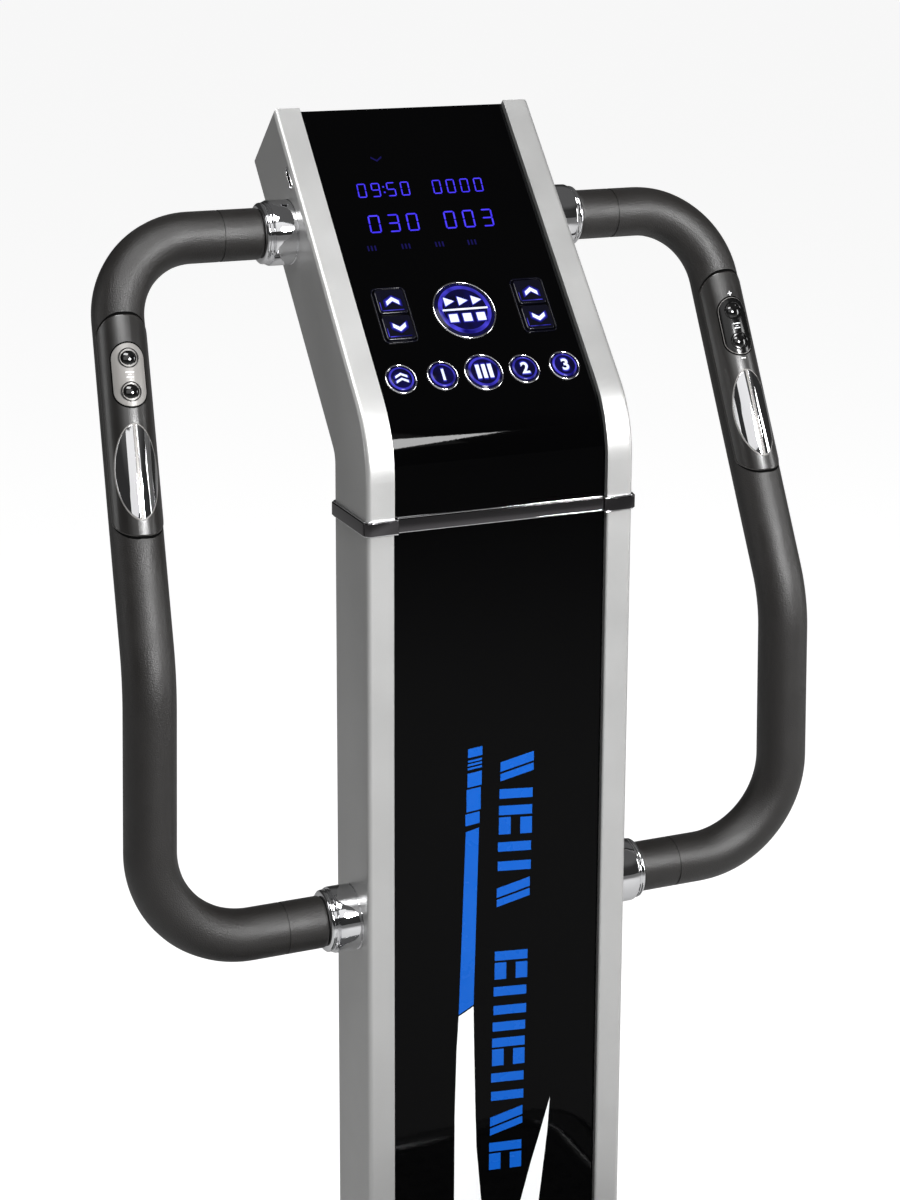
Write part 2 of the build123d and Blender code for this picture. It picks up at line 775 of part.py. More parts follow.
with BuildPart() as trim_band:
    with BuildSketch(Plane.XY.offset(band_low)):
        with Locations((0, column_mid_y)):
            RectangleRounded(
                column_width + 2 * band_proud, column_depth + 2 * band_proud, edge_round + band_proud
            )
        with Locations((0, column_y - band_proud)):
            Rectangle(2 * (rail_inner - band_proud), 2 * panel_recess, mode=Mode.SUBTRACT)
        with Locations((0, column_mid_y)):
            Rectangle(column_width - 2 * band_wall, spine_depth + 2 * edge_round, mode=Mode.SUBTRACT)
    extrude(amount=band_height)
    flat_edges = trim_band.edges().filter_by(lambda e: abs(e.center().Z - band_z) > band_height / 4)
    fillet(flat_edges.filter_by(lambda e: e.center().Y < column_y + edge_round), band_round)
trim_band.part.label = "trim_band"
export_step(trim_band.part, "parts/trim_band.step")

# ---- head shell ----
for side, name in ((-1, "head_left_side"), (1, "head_right_side")):
    rail_x = -half_column if side < 0 else rail_inner
    pocket_x = -half_column + side_wall if side < 0 else rail_inner
    with BuildPart() as head_side:
        extrude(head_section(rail_x, 0, head_depth, band_high, head_length), amount=rail_width)
        outer_x = side * half_column
        outline = head_side.edges().filter_by(lambda e: abs(e.center().X - outer_x) < 0.01)
        low_edges = outline.filter_by(lambda e: abs(e.center().Z - band_high) < 0.01)
        fillet([e for e in outline if e not in low_edges], edge_round)
        extrude(
            head_section(
                pocket_x, rail_depth, head_depth + cut_margin, band_high - 1, head_length + cut_margin
            ),
            amount=rail_width - side_wall,
            mode=Mode.SUBTRACT,
        )
        if side < 0:
            socket_plane = Plane(
                origin=(-half_column - 1, *head_place(usb_rise, usb_depth)),
                x_dir=(0, cos(pitch), sin(pitch)),
                z_dir=(1, 0, 0),
            )
            with BuildSketch(socket_plane):
                Rectangle(usb_wide + 2 * fit_gap, usb_tall + 2 * fit_gap)
            extrude(amount=usb_deep + 1, mode=Mode.SUBTRACT)
    head_side.part.label = name
    export_step(head_side.part, f"parts/{name}.step")

usb_plane = Plane(
    origin=(-half_column, *head_place(usb_rise, usb_depth)),
    x_dir=(0, cos(pitch), sin(pitch)),
    z_dir=(1, 0, 0),
)
with BuildPart() as usb_socket:
    with BuildSketch(usb_plane):
        Rectangle(usb_wide, usb_tall)
    extrude(amount=usb_deep)
    with BuildSketch(usb_plane):
        Rectangle(usb_wide - 2 * usb_end_wall, usb_tall - 2 * usb_wall)
    extrude(amount=usb_deep - usb_back_wall, mode=Mode.SUBTRACT)
    with BuildSketch(usb_plane.offset(usb_back_wall)):
        with Locations((0, -tongue_drop)):
            Rectangle(tongue_width, tongue_thickness)
    extrude(amount=tongue_length)
usb_socket.part.label = "usb_socket"
export_step(usb_socket.part, "parts/usb_socket.step")

preset_places = [preset_pitch * step for step in (-2, -1, 1, 2)]
key_shift = key_height / 2 + key_gap
key_places = [
    ("key_up_left", -key_offset, start_rise + key_shift),
    ("key_down_left", -key_offset, start_rise - key_shift),
    ("key_up_right", key_offset, start_rise + key_shift),
    ("key_down_right", key_offset, start_rise - key_shift),
]
round_buttons = [("start_stop_button", 0.0, start_rise, start_radius)]
round_buttons += [("mode_button", 0.0, preset_rise, mode_radius)]
for number, place in enumerate(preset_places, start=1):
    round_buttons.append((f"preset_button_{number}", place, preset_rise, preset_radius))

fascia_back = panel_recess + panel_thickness
with BuildPart() as head_fascia:
    extrude(
        head_section(-rail_inner + fit_gap, panel_recess, fascia_back, band_high, head_lid),
        amount=2 * rail_inner - 2 * fit_gap,
    )
    for name, x, rise, radius in round_buttons:
        with BuildSketch(head_plane(x, rise, panel_recess - cut_margin)):
            Circle(radius + button_gap)
        extrude(amount=-panel_thickness - 2 * cut_margin, mode=Mode.SUBTRACT)
    for name, x, rise in key_places:
        with BuildSketch(head_plane(x, rise, panel_recess - cut_margin)):
            RectangleRounded(
                key_width + 2 * button_gap, key_height + 2 * button_gap, key_corner + button_gap
            )
        extrude(amount=-panel_thickness - 2 * cut_margin, mode=Mode.SUBTRACT)
head_fascia.part.label = "head_fascia"
export_step(head_fascia.part, "parts/head_fascia.step")

cover_half = half_column - side_wall - fit_gap
lid_low = head_lid - lid_thickness
with BuildPart() as head_back_cover:
    extrude(
        head_section(-cover_half, rail_depth + fit_gap, head_depth, band_high, head_lid),
        amount=2 * cover_half,
    )
    extrude(
        head_section(
            -cover_half, rail_depth - 1, head_depth - back_cover_thickness, band_high - 1, lid_low
        ),
        amount=2 * cover_half,
        mode=Mode.SUBTRACT,
    )
    with BuildSketch(head_plane(0, head_lid - lid_thickness / 2, fascia_back + fit_gap)):
        Rectangle(2 * rail_inner - 2 * fit_gap, lid_thickness)
    extrude(amount=-(rail_depth - fascia_back + 1))
head_back_cover.part.label = "head_back_cover"
export_step(head_back_cover.part, "parts/head_back_cover.step")

# ---- console electronics and controls ----
with BuildPart() as display_module:
    with BuildSketch(head_plane(0, display_rise, fascia_back)):
        RectangleRounded(display_width, display_height, display_corner)
    extrude(amount=-display_thickness)
display_module.part.label = "display_module"
export_step(display_module.part, "parts/display_module.step")

console_depth = panel_recess - button_proud + button_depth + console_gap
console_rise = (start_rise + preset_rise) / 2 + console_shift
with BuildPart() as console_board:
    with BuildSketch(head_plane(0, console_rise, console_depth)):
        Rectangle(console_width, console_length)
        with GridLocations(
            console_width - 2 * console_hole_inset, console_length - 2 * console_hole_inset, 2, 2
        ):
            Circle(console_hole_radius, mode=Mode.SUBTRACT)
    extrude(amount=-console_thickness)
console_board.part.label = "console_board"
export_step(console_board.part, "parts/console_board.step")

with BuildPart() as button_bezels:
    for name, x, rise, radius in round_buttons:
        with BuildSketch(head_plane(x, rise, panel_recess)):
            Circle(radius + button_gap + ring_width)
            Circle(radius + button_gap, mode=Mode.SUBTRACT)
        extrude(amount=ring_proud)
    for side in (-1, 1):
        with BuildSketch(head_plane(side * key_offset, start_rise, panel_recess)):
            RectangleRounded(
                key_width + 2 * key_border, 2 * (key_height + key_gap + key_border), key_frame_corner
            )
            with Locations((0, key_shift), (0, -key_shift)):
                RectangleRounded(
                    key_width + 2 * button_gap,
                    key_height + 2 * button_gap,
                    key_corner + button_gap,
                    mode=Mode.SUBTRACT,
                )
        extrude(amount=ring_proud / 2)
button_bezels.part.label = "button_bezels"
export_step(button_bezels.part, "parts/button_bezels.step")

outward = Axis((0, 0, 0), (0, -sin(pitch), cos(pitch)))
for name, x, rise, radius in round_buttons:
    with BuildPart() as button:
        with BuildSketch(head_plane(x, rise, panel_recess - button_proud)):
            Circle(radius)
        extrude(amount=-button_depth)
        fillet(button.edges().sort_by(outward)[-1], button_round)
    button.part.label = name
    export_step(button.part, f"parts/{name}.step")

for name, x, rise in key_places:
    with BuildPart() as key:
        with BuildSketch(head_plane(x, rise, panel_recess - button_proud)):
            RectangleRounded(key_width, key_height, key_corner)
        extrude(amount=-button_depth)
        fillet(key.faces().sort_by(outward)[-1].edges(), key_round)
    key.part.label = name
    export_step(key.part, f"parts/{name}.step")

# ---- handrails ----
upper_y, upper_z = head_place(upper_rise, upper_depth)
lower_y = column_y + lower_depth
lean_y = upper_y - lower_y
lean_z = upper_z - (band_z - elbow_drop)
lean = hypot(lean_y, lean_z)
front_normal = Vector(0, -lean_z / lean, lean_y / lean)
rail_front = Axis((0, 0, 0), tuple(front_normal))


def rail_corners(side):
    """Corners of one handrail's centre line, from the head round to the column."""
    return [
        Vector(side * half_column, upper_y, upper_z),
        Vector(side * upper_reach, upper_y, upper_z),
        Vector(side * elbow_reach, lower_y, band_z - elbow_drop),
        Vector(side * lower_reach, lower_y, band_z - lower_drop),
        Vector(side * half_column, lower_y, band_z - lower_drop),
    ]


def rail_path(side, start_gap):
    """Centre line with rounded corners, starting and ending a gap away from the walls."""
    corners = rail_corners(side)
    step = Vector(side * start_gap, 0, 0)
    with BuildLine() as line:
        FilletPolyline(
            corners[0] + step, corners[1], corners[2], corners[3], corners[4] + step,
            radius=(upper_corner_radius, elbow_radius, lower_corner_radius),
        )
    return line.wires()[0]


def pod_plane(side, distance, out):
    """Plane facing the user on the leaning stretch: local x runs down the handrail."""
    corners = rail_corners(side)
    run = (corners[2] - corners[1]).normalized()
    place = corners[1] + run * distance + front_normal * out
    return Plane(origin=place, x_dir=run, z_dir=front_normal)


def rail_rod(side, radius):
    """Solid round bar along the leaning stretch, for trimming what sits on it."""
    corners = rail_corners(side)
    run = (corners[2] - corners[1]).normalized()
    bar_plane = Plane(origin=corners[1] + run * (pod_start - cut_margin), x_dir=front_normal, z_dir=run)
    with BuildPart() as bar:
        with BuildSketch(bar_plane):
            Circle(radius)
        extrude(amount=pod_length + 2 * cut_margin)
    return bar.part


for side, word in ((-1, "left"), (1, "right")):
    tube_line = rail_path(side, 0)
    with BuildPart() as handle_tube:
        with BuildSketch(Plane(origin=tube_line @ 0, z_dir=tube_line % 0)):
            Circle(rail_tube_radius)
            Circle(rail_tube_radius - rail_tube_wall, mode=Mode.SUBTRACT)
        sweep(path=tube_line)
    handle_tube.part.label = f"handle_tube_{word}"
    export_step(handle_tube.part, f"parts/handle_tube_{word}.step")

    foam_line = rail_path(side, collar_length)
    with BuildPart() as foam_grip:
        with BuildSketch(Plane(origin=foam_line @ 0, z_dir=foam_line % 0)):
            Circle(foam_radius)
            Circle(rail_tube_radius, mode=Mode.SUBTRACT)
        sweep(path=foam_line)
        foam_end = half_column + collar_length
        rims = foam_grip.edges().filter_by(lambda e: abs(abs(e.center().X) - foam_end) < 0.01)
        fillet(rims.filter_by(lambda e: e.length > pi * (foam_radius + rail_tube_radius)), foam_round)
        with BuildSketch(pod_plane(side, pod_start + pod_length / 2, 0)):
            RectangleRounded(pod_length + 2 * fit_gap, pod_width + 2 * fit_gap, pod_corner)
        extrude(amount=foam_radius + cut_margin, mode=Mode.SUBTRACT)
    foam_grip.part.label = f"foam_grip_{word}"
    export_step(foam_grip.part, f"parts/foam_grip_{word}.step")

    pod_skin = rail_rod(side, foam_radius + pod_proud)
    pod_core = rail_rod(side, rail_tube_radius + fit_gap)
    button_places = [plate_rise - pod_button_pitch / 2, plate_rise + pod_button_pitch / 2]
    with BuildPart() as sensor_pod:
        with BuildSketch(pod_plane(side, pod_start + pod_length / 2, 0)):
            RectangleRounded(pod_length, pod_width, pod_corner)
        extrude(amount=foam_radius + cut_margin)
        add(pod_skin, mode=Mode.INTERSECT)
        add(pod_core, mode=Mode.SUBTRACT)
        with BuildSketch(pod_plane(side, plate_rise, pod_seat)):
            SlotOverall(plate_length, plate_width)
        extrude(amount=pod_pocket, mode=Mode.SUBTRACT)
        for rise in button_places:
            with BuildSketch(pod_plane(side, rise, rail_tube_radius + pod_button_floor)):
                Circle(pod_button_radius + button_gap)
            extrude(amount=pod_pocket, mode=Mode.SUBTRACT)
        with BuildSketch(pod_plane(side, pulse_rise, pulse_seat)):
            Ellipse(pulse_length / 2, pulse_width / 2)
        extrude(amount=pod_pocket, mode=Mode.SUBTRACT)
    sensor_pod.part.label = f"sensor_pod_{word}"
    export_step(sensor_pod.part, f"parts/sensor_pod_{word}.step")

    for rise, place in zip(button_places, ("upper", "lower")):
        with BuildPart() as pod_button:
            with BuildSketch(pod_plane(side, rise, pod_seat)):
                Circle(pod_button_radius)
            extrude(amount=pod_button_depth)
            fillet(pod_button.faces().sort_by(rail_front)[-1].edges(), pod_button_round)
        pod_button.part.label = f"pod_button_{place}_{word}"
        export_step(pod_button.part, f"parts/pod_button_{place}_{word}.step")

plate_skins = [rail_rod(side, foam_radius + pod_proud + plate_proud) for side in (-1, 1)]
with BuildPart() as pod_plates:
    for side in (-1, 1):
        with BuildSketch(pod_plane(side, plate_rise, pod_seat)):
            SlotOverall(plate_length - 2 * fit_gap, plate_width - 2 * fit_gap)
            with Locations((-pod_button_pitch / 2, 0), (pod_button_pitch / 2, 0)):
                Circle(pod_button_radius + button_gap, mode=Mode.SUBTRACT)
        extrude(amount=foam_radius)
    add(plate_skins[0] + plate_skins[1], mode=Mode.INTERSECT)
pod_plates.part.label = "pod_plates"
export_step(pod_plates.part, "parts/pod_plates.step")

pulse_skins = {side: rail_rod(side, foam_radius + pulse_proud) for side in (-1, 1)}
with BuildPart() as pulse_plates:
    for side in (-1, 1):
        with BuildSketch(pod_plane(side, pulse_rise, pulse_seat)):
            Ellipse(pulse_length / 2 - fit_gap, pulse_width / 2 - fit_gap)
            Rectangle(pulse_length, pulse_split, mode=Mode.SUBTRACT)
        extrude(amount=foam_radius + pulse_proud - pulse_seat)
    add(pulse_skins[-1] + pulse_skins[1], mode=Mode.INTERSECT)
pulse_plates.part.label = "pulse_plates"
export_step(pulse_plates.part, "parts/pulse_plates.step")

collar_places = [
    (side * half_column, y, z)
    for side in (-1, 1)
    for y, z in ((upper_y, upper_z), (lower_y, band_z - lower_drop))
]
with BuildPart() as handle_collars:
    for x, y, z in collar_places:
        away = 1 if x > 0 else -1
        collar_plane = Plane(origin=(x, y, z), x_dir=(0, 1, 0), z_dir=(away, 0, 0))
        with BuildSketch(collar_plane):
            Circle(collar_radius)
            Circle(rail_tube_radius, mode=Mode.SUBTRACT)
        extrude(amount=collar_length - collar_lip)
        with BuildSketch(collar_plane.offset(collar_length - collar_lip)):
            Circle(collar_radius - collar_step)
            Circle(rail_tube_radius, mode=Mode.SUBTRACT)
        extrude(amount=collar_lip)
    for x, y, z in collar_places:
        away = 1 if x > 0 else -1
        screw_plane = Plane(origin=(x + away * screw_offset, y, z), z_dir=(0, 0, -1))
        with BuildSketch(screw_plane):
            Circle(screw_radius)
        extrude(amount=collar_radius + cut_margin, mode=Mode.SUBTRACT)
handle_collars.part.label = "handle_collars"
export_step(handle_collars.part, "parts/handle_collars.step")

screw_length = collar_radius - rail_tube_radius - screw_sink
with BuildPart() as set_screws:
    for x, y, z in collar_places:
        away = 1 if x > 0 else -1
        screw_plane = Plane(origin=(x + away * screw_offset, y, z - rail_tube_radius), z_dir=(0, 0, -1))
        with BuildSketch(screw_plane):
            Circle(screw_radius)
        extrude(amount=screw_length)
        with BuildSketch(screw_plane.offset(screw_length - hex_depth)):
            RegularPolygon(hex_radius, 6)
        extrude(amount=hex_depth, mode=Mode.SUBTRACT)
set_screws.part.label = "set_screws"
export_step(set_screws.part, "parts/set_screws.step")
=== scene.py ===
from math import atan2, cos, hypot, pi, radians, sin, sqrt, tan

import bmesh
import bpy
from mathutils import Matrix, Vector


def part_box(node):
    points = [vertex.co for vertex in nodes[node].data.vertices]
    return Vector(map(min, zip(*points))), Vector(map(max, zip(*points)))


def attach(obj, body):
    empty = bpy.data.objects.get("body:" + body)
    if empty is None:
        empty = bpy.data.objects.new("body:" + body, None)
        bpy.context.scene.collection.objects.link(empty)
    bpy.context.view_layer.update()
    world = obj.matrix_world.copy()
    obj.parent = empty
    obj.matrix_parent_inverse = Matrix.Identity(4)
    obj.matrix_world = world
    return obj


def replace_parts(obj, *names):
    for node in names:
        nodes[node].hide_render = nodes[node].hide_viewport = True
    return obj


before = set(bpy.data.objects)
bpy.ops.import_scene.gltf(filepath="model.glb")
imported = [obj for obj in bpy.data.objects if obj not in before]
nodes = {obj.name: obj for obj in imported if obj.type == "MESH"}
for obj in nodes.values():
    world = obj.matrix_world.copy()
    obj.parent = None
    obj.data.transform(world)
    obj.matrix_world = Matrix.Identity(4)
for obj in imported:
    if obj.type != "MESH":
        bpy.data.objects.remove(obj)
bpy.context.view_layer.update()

# Vibration plate: column, bent console head, two foam handrails, and a low drive base.
# Metres, +Z up, the user stands on the -Y side.

column_low, column_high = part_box("column_left_profile")
band_low, band_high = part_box("trim_band")
panel_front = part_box("column_front_panel")[0].y
column_front = column_low.y
half_column = -column_low.x
rail_inner = -column_high.x
band_z = (band_low.z + band_high.z) / 2
head_pitch = radians(48)     # slope of the console's face
vertex_rise = 0.074          # from the band up to where the face would meet the column's front
panel_recess = 0.005         # black panels sit this far behind the silver sides
foam_radius = 0.022
weld = 1e-6                  # points closer than this are one point
level_tolerance = 1e-7


# ---- finishes ----
def new_finish(name):
    """An empty node material with its shader."""
    finish = bpy.data.materials.new(name)
    finish.use_nodes = True
    shader = finish.node_tree.nodes["Principled BSDF"]
    return finish, finish.node_tree, shader


def grain(tree, size, detail=3.0, stretch=(1, 1, 1)):
    """Noise on the object's own coordinates, with features about this many metres across."""
    where = tree.nodes.new("ShaderNodeTexCoord")
    place = tree.nodes.new("ShaderNodeMapping")
    place.inputs["Scale"].default_value = [s / size for s in stretch]
    noise = tree.nodes.new("ShaderNodeTexNoise")
    noise.inputs["Scale"].default_value = 1.0
    noise.inputs["Detail"].default_value = detail
    tree.links.new(where.outputs["Object"], place.inputs["Vector"])
    tree.links.new(place.outputs["Vector"], noise.inputs["Vector"])
    return noise.outputs["Fac"]


def blend_colour(tree, amount, dark, light):
    """Colour that runs from dark to light with the pattern."""
    mix = tree.nodes.new("ShaderNodeMix")
    mix.data_type = "RGBA"
    mix.inputs["A"].default_value = (*dark, 1)
    mix.inputs["B"].default_value = (*light, 1)
    tree.links.new(amount, mix.inputs["Factor"])
    return mix.outputs["Result"]


def spread(tree, amount, low, high):
    """The pattern's middle range stretched between two values."""
    span = tree.nodes.new("ShaderNodeMapRange")
    span.inputs["From Min"].default_value = 0.3
    span.inputs["From Max"].default_value = 0.7
    span.inputs["To Min"].default_value = low
    span.inputs["To Max"].default_value = high
    tree.links.new(amount, span.inputs["Value"])
    return span.outputs["Result"]


def surface(name, dark, light, rough, metal=0.0, patch=0.05, pore=0.001, bump=0.1, stretch=(1, 1, 1),
            coat=0.0, coat_rough=0.05, sheen=0.0, level=0.5, ior=1.5):
    """Painted, moulded or machined surface: patchy tone, uneven gloss and a fine texture."""
    finish, tree, shader = new_finish(name)
    tone = grain(tree, patch, stretch=stretch)
    tree.links.new(blend_colour(tree, tone, dark, light), shader.inputs["Base Color"])
    gloss = grain(tree, patch * 0.6, 4.0, stretch)
    tree.links.new(spread(tree, gloss, rough[0], rough[1]), shader.inputs["Roughness"])
    shader.inputs["Metallic"].default_value = metal
    shader.inputs["Coat Weight"].default_value = coat
    shader.inputs["Coat Roughness"].default_value = coat_rough
    shader.inputs["Sheen Weight"].default_value = sheen
    shader.inputs["Specular IOR Level"].default_value = level
    shader.inputs["IOR"].default_value = ior
    if bump:
        relief = tree.nodes.new("ShaderNodeBump")
        relief.inputs["Strength"].default_value = bump
        relief.inputs["Distance"].default_value = pore
        tree.links.new(grain(tree, pore, 5.0, stretch), relief.inputs["Height"])
        tree.links.new(relief.outputs["Normal"], shader.inputs["Normal"])
    return finish


def lit(name, core, edge, strength, patch=0.01):
    """Light shining through plastic: uneven between two colours."""
    finish, tree, shader = new_finish(name)
    tone = spread(tree, grain(tree, patch, 1.0), 0.0, 1.0)
    tree.links.new(blend_colour(tree, tone, core, edge), shader.inputs["Emission Color"])
    shader.inputs["Emission Strength"].default_value = strength
    shader.inputs["Base Color"].default_value = (0.002, 0.002, 0.006, 1)
    shader.inputs["Roughness"].default_value = 0.12
    shader.inputs["Specular IOR Level"].default_value = 0.10
    return finish


silver_paint = surface("silver_paint", (0.52, 0.52, 0.515), (0.60, 0.60, 0.595), (0.36, 0.44), metal=0.7,
                       patch=0.09, pore=0.0007, bump=0.16, coat=0.12, coat_rough=0.2)
silver_plastic = surface("silver_plastic", (0.36, 0.365, 0.37), (0.42, 0.425, 0.43), (0.42, 0.55), metal=0.25,
                         pore=0.0006, bump=0.2)
gloss_black = surface("gloss_black", (0.0006, 0.0006, 0.0007), (0.0010, 0.0010, 0.0011), (0.02, 0.035),
                      patch=0.12, pore=0.004, bump=0.003, level=0.07)
dark_chrome = surface("dark_chrome", (0.10, 0.095, 0.10), (0.13, 0.125, 0.13), (0.06, 0.11), metal=1.0,
                      pore=0.0006, bump=0.02)
chrome = surface("chrome", (0.80, 0.80, 0.82), (0.88, 0.88, 0.89), (0.03, 0.06), metal=1.0, pore=0.0010,
                 bump=0.004)
foam = surface("foam", (0.0058, 0.0048, 0.0042), (0.0085, 0.0072, 0.0064), (0.40, 0.50), patch=0.05,
               pore=0.0011, bump=0.35, sheen=0.03, level=0.65)
pod_black = surface("pod_black", (0.0058, 0.0050, 0.0045), (0.0085, 0.0074, 0.0067), (0.31, 0.37),
                    pore=0.0005, bump=0.08, sheen=0.03, level=1.0)
# Lighter than pod_black: a painted edge highlight on the pod shell's rounded rim. Its lower roughness is real
# gloss.
pod_edge_highlight = surface("pod_edge_highlight", (0.018, 0.016, 0.015), (0.024, 0.022, 0.020), (0.16, 0.22), pore=0.0005,
                   bump=0.02, level=1.0)
# Near-black and almost unreflecting: painted shade for the seams round the pods and round the button plates.
painted_seam_shade = surface("painted_seam_shade", (0.0006, 0.0006, 0.0006), (0.0010, 0.0010, 0.0010), (0.70, 0.80),
                     pore=0.0005, bump=0.05, level=0.05)
plate_grey = surface("plate_grey", (0.25, 0.24, 0.23), (0.30, 0.29, 0.28), (0.34, 0.44), metal=0.2,
                     pore=0.0004, bump=0.1)
plate_dark = surface("plate_dark", (0.003, 0.003, 0.003), (0.005, 0.005, 0.005), (0.12, 0.18),
                     pore=0.0005, bump=0.03)
dome_black = surface("dome_black", (0.002, 0.002, 0.002), (0.004, 0.004, 0.004), (0.04, 0.08), pore=0.001,
                     bump=0.01, coat=1.0)
key_black = surface("key_black", (0.0015, 0.0015, 0.004), (0.003, 0.003, 0.009), (0.07, 0.12), pore=0.001,
                    bump=0.01, coat=0.08, level=0.3)
black_plastic = surface("black_plastic", (0.010, 0.010, 0.011), (0.018, 0.018, 0.019), (0.45, 0.60),
                        pore=0.0009, bump=0.25)
base_black = surface("base_black", (0.014, 0.014, 0.015), (0.024, 0.024, 0.026), (0.34, 0.46), patch=0.12,
                     pore=0.0011, bump=0.3, coat=0.1, coat_rough=0.3)
steel = surface("steel", (0.03, 0.03, 0.032), (0.05, 0.05, 0.052), (0.40, 0.55), metal=0.2, pore=0.002,
                bump=0.2)
bright_steel = surface("bright_steel", (0.50, 0.50, 0.51), (0.64, 0.64, 0.65), (0.22, 0.36), metal=1.0,
                       pore=0.0008, bump=0.08, stretch=(1, 1, 0.1))
cast_aluminium = surface("cast_aluminium", (0.46, 0.46, 0.47), (0.58, 0.58, 0.59), (0.38, 0.55),
                         metal=0.9, pore=0.0015, bump=0.35)
cast_iron = surface("cast_iron", (0.05, 0.05, 0.052), (0.09, 0.088, 0.086), (0.5, 0.7), metal=0.5,
                    pore=0.002, bump=0.5)
motor_paint = surface("motor_paint", (0.05, 0.06, 0.075), (0.07, 0.08, 0.10), (0.32, 0.45), metal=0.3,
                      pore=0.0012, bump=0.15)
belt_rubber = surface("belt_rubber", (0.010, 0.010, 0.010), (0.022, 0.021, 0.020), (0.6, 0.8),
                      pore=0.0012, bump=0.5)
circuit_green = surface("circuit_green", (0.004, 0.07, 0.025), (0.01, 0.14, 0.05), (0.25, 0.4),
                        patch=0.006, pore=0.001, bump=0.2, coat=0.3)
switch_red = surface("switch_red", (0.42, 0.012, 0.01), (0.55, 0.02, 0.016), (0.18, 0.28), pore=0.0008,
                     bump=0.05, coat=0.4)
rubber = surface("rubber", (0.012, 0.012, 0.012), (0.026, 0.025, 0.024), (0.62, 0.82), pore=0.0014, bump=0.45)
mat_rubber = surface("mat_rubber", (0.018, 0.018, 0.019), (0.034, 0.034, 0.035), (0.6, 0.78), pore=0.0012,
                     bump=0.5)
digit_blue = lit("digit_blue", (0.050, 0.030, 0.86), (0.080, 0.055, 1.0), 1.15)
digit_haze = lit("digit_haze", (0.006, 0.003, 0.24), (0.010, 0.005, 0.32), 0.30)
dim_blue = lit("dim_blue", (0.02, 0.012, 0.26), (0.03, 0.018, 0.34), 0.25)
glyph_white = lit("glyph_white", (0.72, 0.80, 1.0), (0.92, 0.95, 1.0), 1.3)
glyph_halo = lit("glyph_halo", (0.05, 0.05, 0.75), (0.14, 0.16, 1.0), 0.75, 0.006)
soft_halo = lit("soft_halo", (0.008, 0.006, 0.26), (0.020, 0.015, 0.50), 0.45, 0.006)
cap_glow = lit("cap_glow", (0.0008, 0.0008, 0.022), (0.008, 0.005, 0.20), 0.30, 0.011)
rim_glow = lit("rim_glow", (0.003, 0.002, 0.16), (0.10, 0.085, 1.0), 0.75, 0.012)
print_blue = surface("print_blue", (0.002, 0.085, 0.44), (0.003, 0.105, 0.52), (0.22, 0.32), pore=0.0006,
                     bump=0.03, level=0.2)
print_white = surface("print_white", (0.82, 0.83, 0.84), (0.90, 0.90, 0.91), (0.25, 0.35), pore=0.0006,
                      bump=0.03, level=0.3)

node_finishes = {
    silver_paint: ["column_left_profile", "column_right_profile", "head_left_side", "head_right_side"],
    silver_plastic: ["platform_deck", "column_back_cover", "head_back_cover"],
    gloss_black: ["column_front_panel", "head_fascia"],
    base_black: ["base_cover", "column_shroud"],
    black_plastic: ["base_tray", "power_inlet", "display_module"],
    steel: ["base_frame", "platform_frame", "column_spine"],
    bright_steel: ["wheel_axles", "pivot_shaft", "crankshaft", "motor_rotor", "set_screws",
                   "handle_tube_left", "handle_tube_right"],
    cast_aluminium: ["connecting_rods", "crank_pulley"],
    cast_iron: ["pillow_blocks"],
    motor_paint: ["motor_body"],
    belt_rubber: ["drive_belt"],
    circuit_green: ["drive_board", "console_board"],
    chrome: ["usb_socket"],
    switch_red: ["power_switch"],
    rubber: ["rubber_feet", "wheel_left", "wheel_right"],
    mat_rubber: ["platform_mat"],
}
for finish, names in node_finishes.items():
    for name in names:
        nodes[name].data.materials.clear()
        nodes[name].data.materials.append(finish)


# ---- how pieces are made ----
def add_piece(name, bm, finishes, body, crisp=35):
    """Puts a finished bmesh in the scene, smooth except at creases, riding on its body."""
    bmesh.ops.recalc_face_normals(bm, faces=bm.faces)
    mesh = bpy.data.meshes.new(name)
    bm.to_mesh(mesh)
    bm.free()
    mesh.shade_smooth()
    mesh.set_sharp_from_angle(angle=radians(crisp))
    for finish in finishes:
        mesh.materials.append(finish)
    piece = bpy.data.objects.new(name, mesh)
    bpy.context.scene.collection.objects.link(piece)
    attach(piece, body)
    return piece


def moved(bm, matrix):
    """The same mesh, put in place."""
    bmesh.ops.transform(bm, matrix=matrix, verts=bm.verts)
    return bm


def keep_rim(bm, wall):
    """Leaves only a rim of this width out of a flat face."""
    rim = bmesh.ops.inset_region(bm, faces=bm.faces[:], thickness=wall, use_even_offset=True,
                                 use_boundary=True)
    bmesh.ops.delete(bm, geom=[f for f in bm.faces if f not in rim["faces"]], context="FACES")


def solid_from_curve(name, curve):
    """Mesh of a thick line or a raised number. The curve itself is thrown away."""
    holder = bpy.data.objects.new(name, curve)
    bpy.context.scene.collection.objects.link(holder)
    bpy.context.view_layer.update()
    shaped = bpy.data.meshes.new_from_object(holder.evaluated_get(bpy.context.evaluated_depsgraph_get()))
    bm = bmesh.new()
    bm.from_mesh(shaped)
    bpy.data.objects.remove(holder)
    bpy.data.curves.remove(curve)
    bpy.data.meshes.remove(shaped)
    bmesh.ops.remove_doubles(bm, verts=bm.verts, dist=weld)
    return bm


def round_edges(bm, edges, size, steps=3):
    """Rounds some edges."""
    bmesh.ops.bevel(bm, geom=list(edges), offset=size, segments=steps, profile=0.5, affect="EDGES",
                    material=-1, clamp_overlap=True)


def outline_face(bm, points, corner=0.0, steps=8):
    """Flat face through points, with its corners rounded when a radius is given."""
    face = bm.faces.new([bm.verts.new((x, y, 0.0)) for x, y in points])
    if corner:
        bmesh.ops.bevel(bm, geom=list(face.verts), offset=corner, segments=steps, profile=0.5,
                        affect="VERTICES", material=-1, clamp_overlap=True)
    return bm.faces[:][-1]


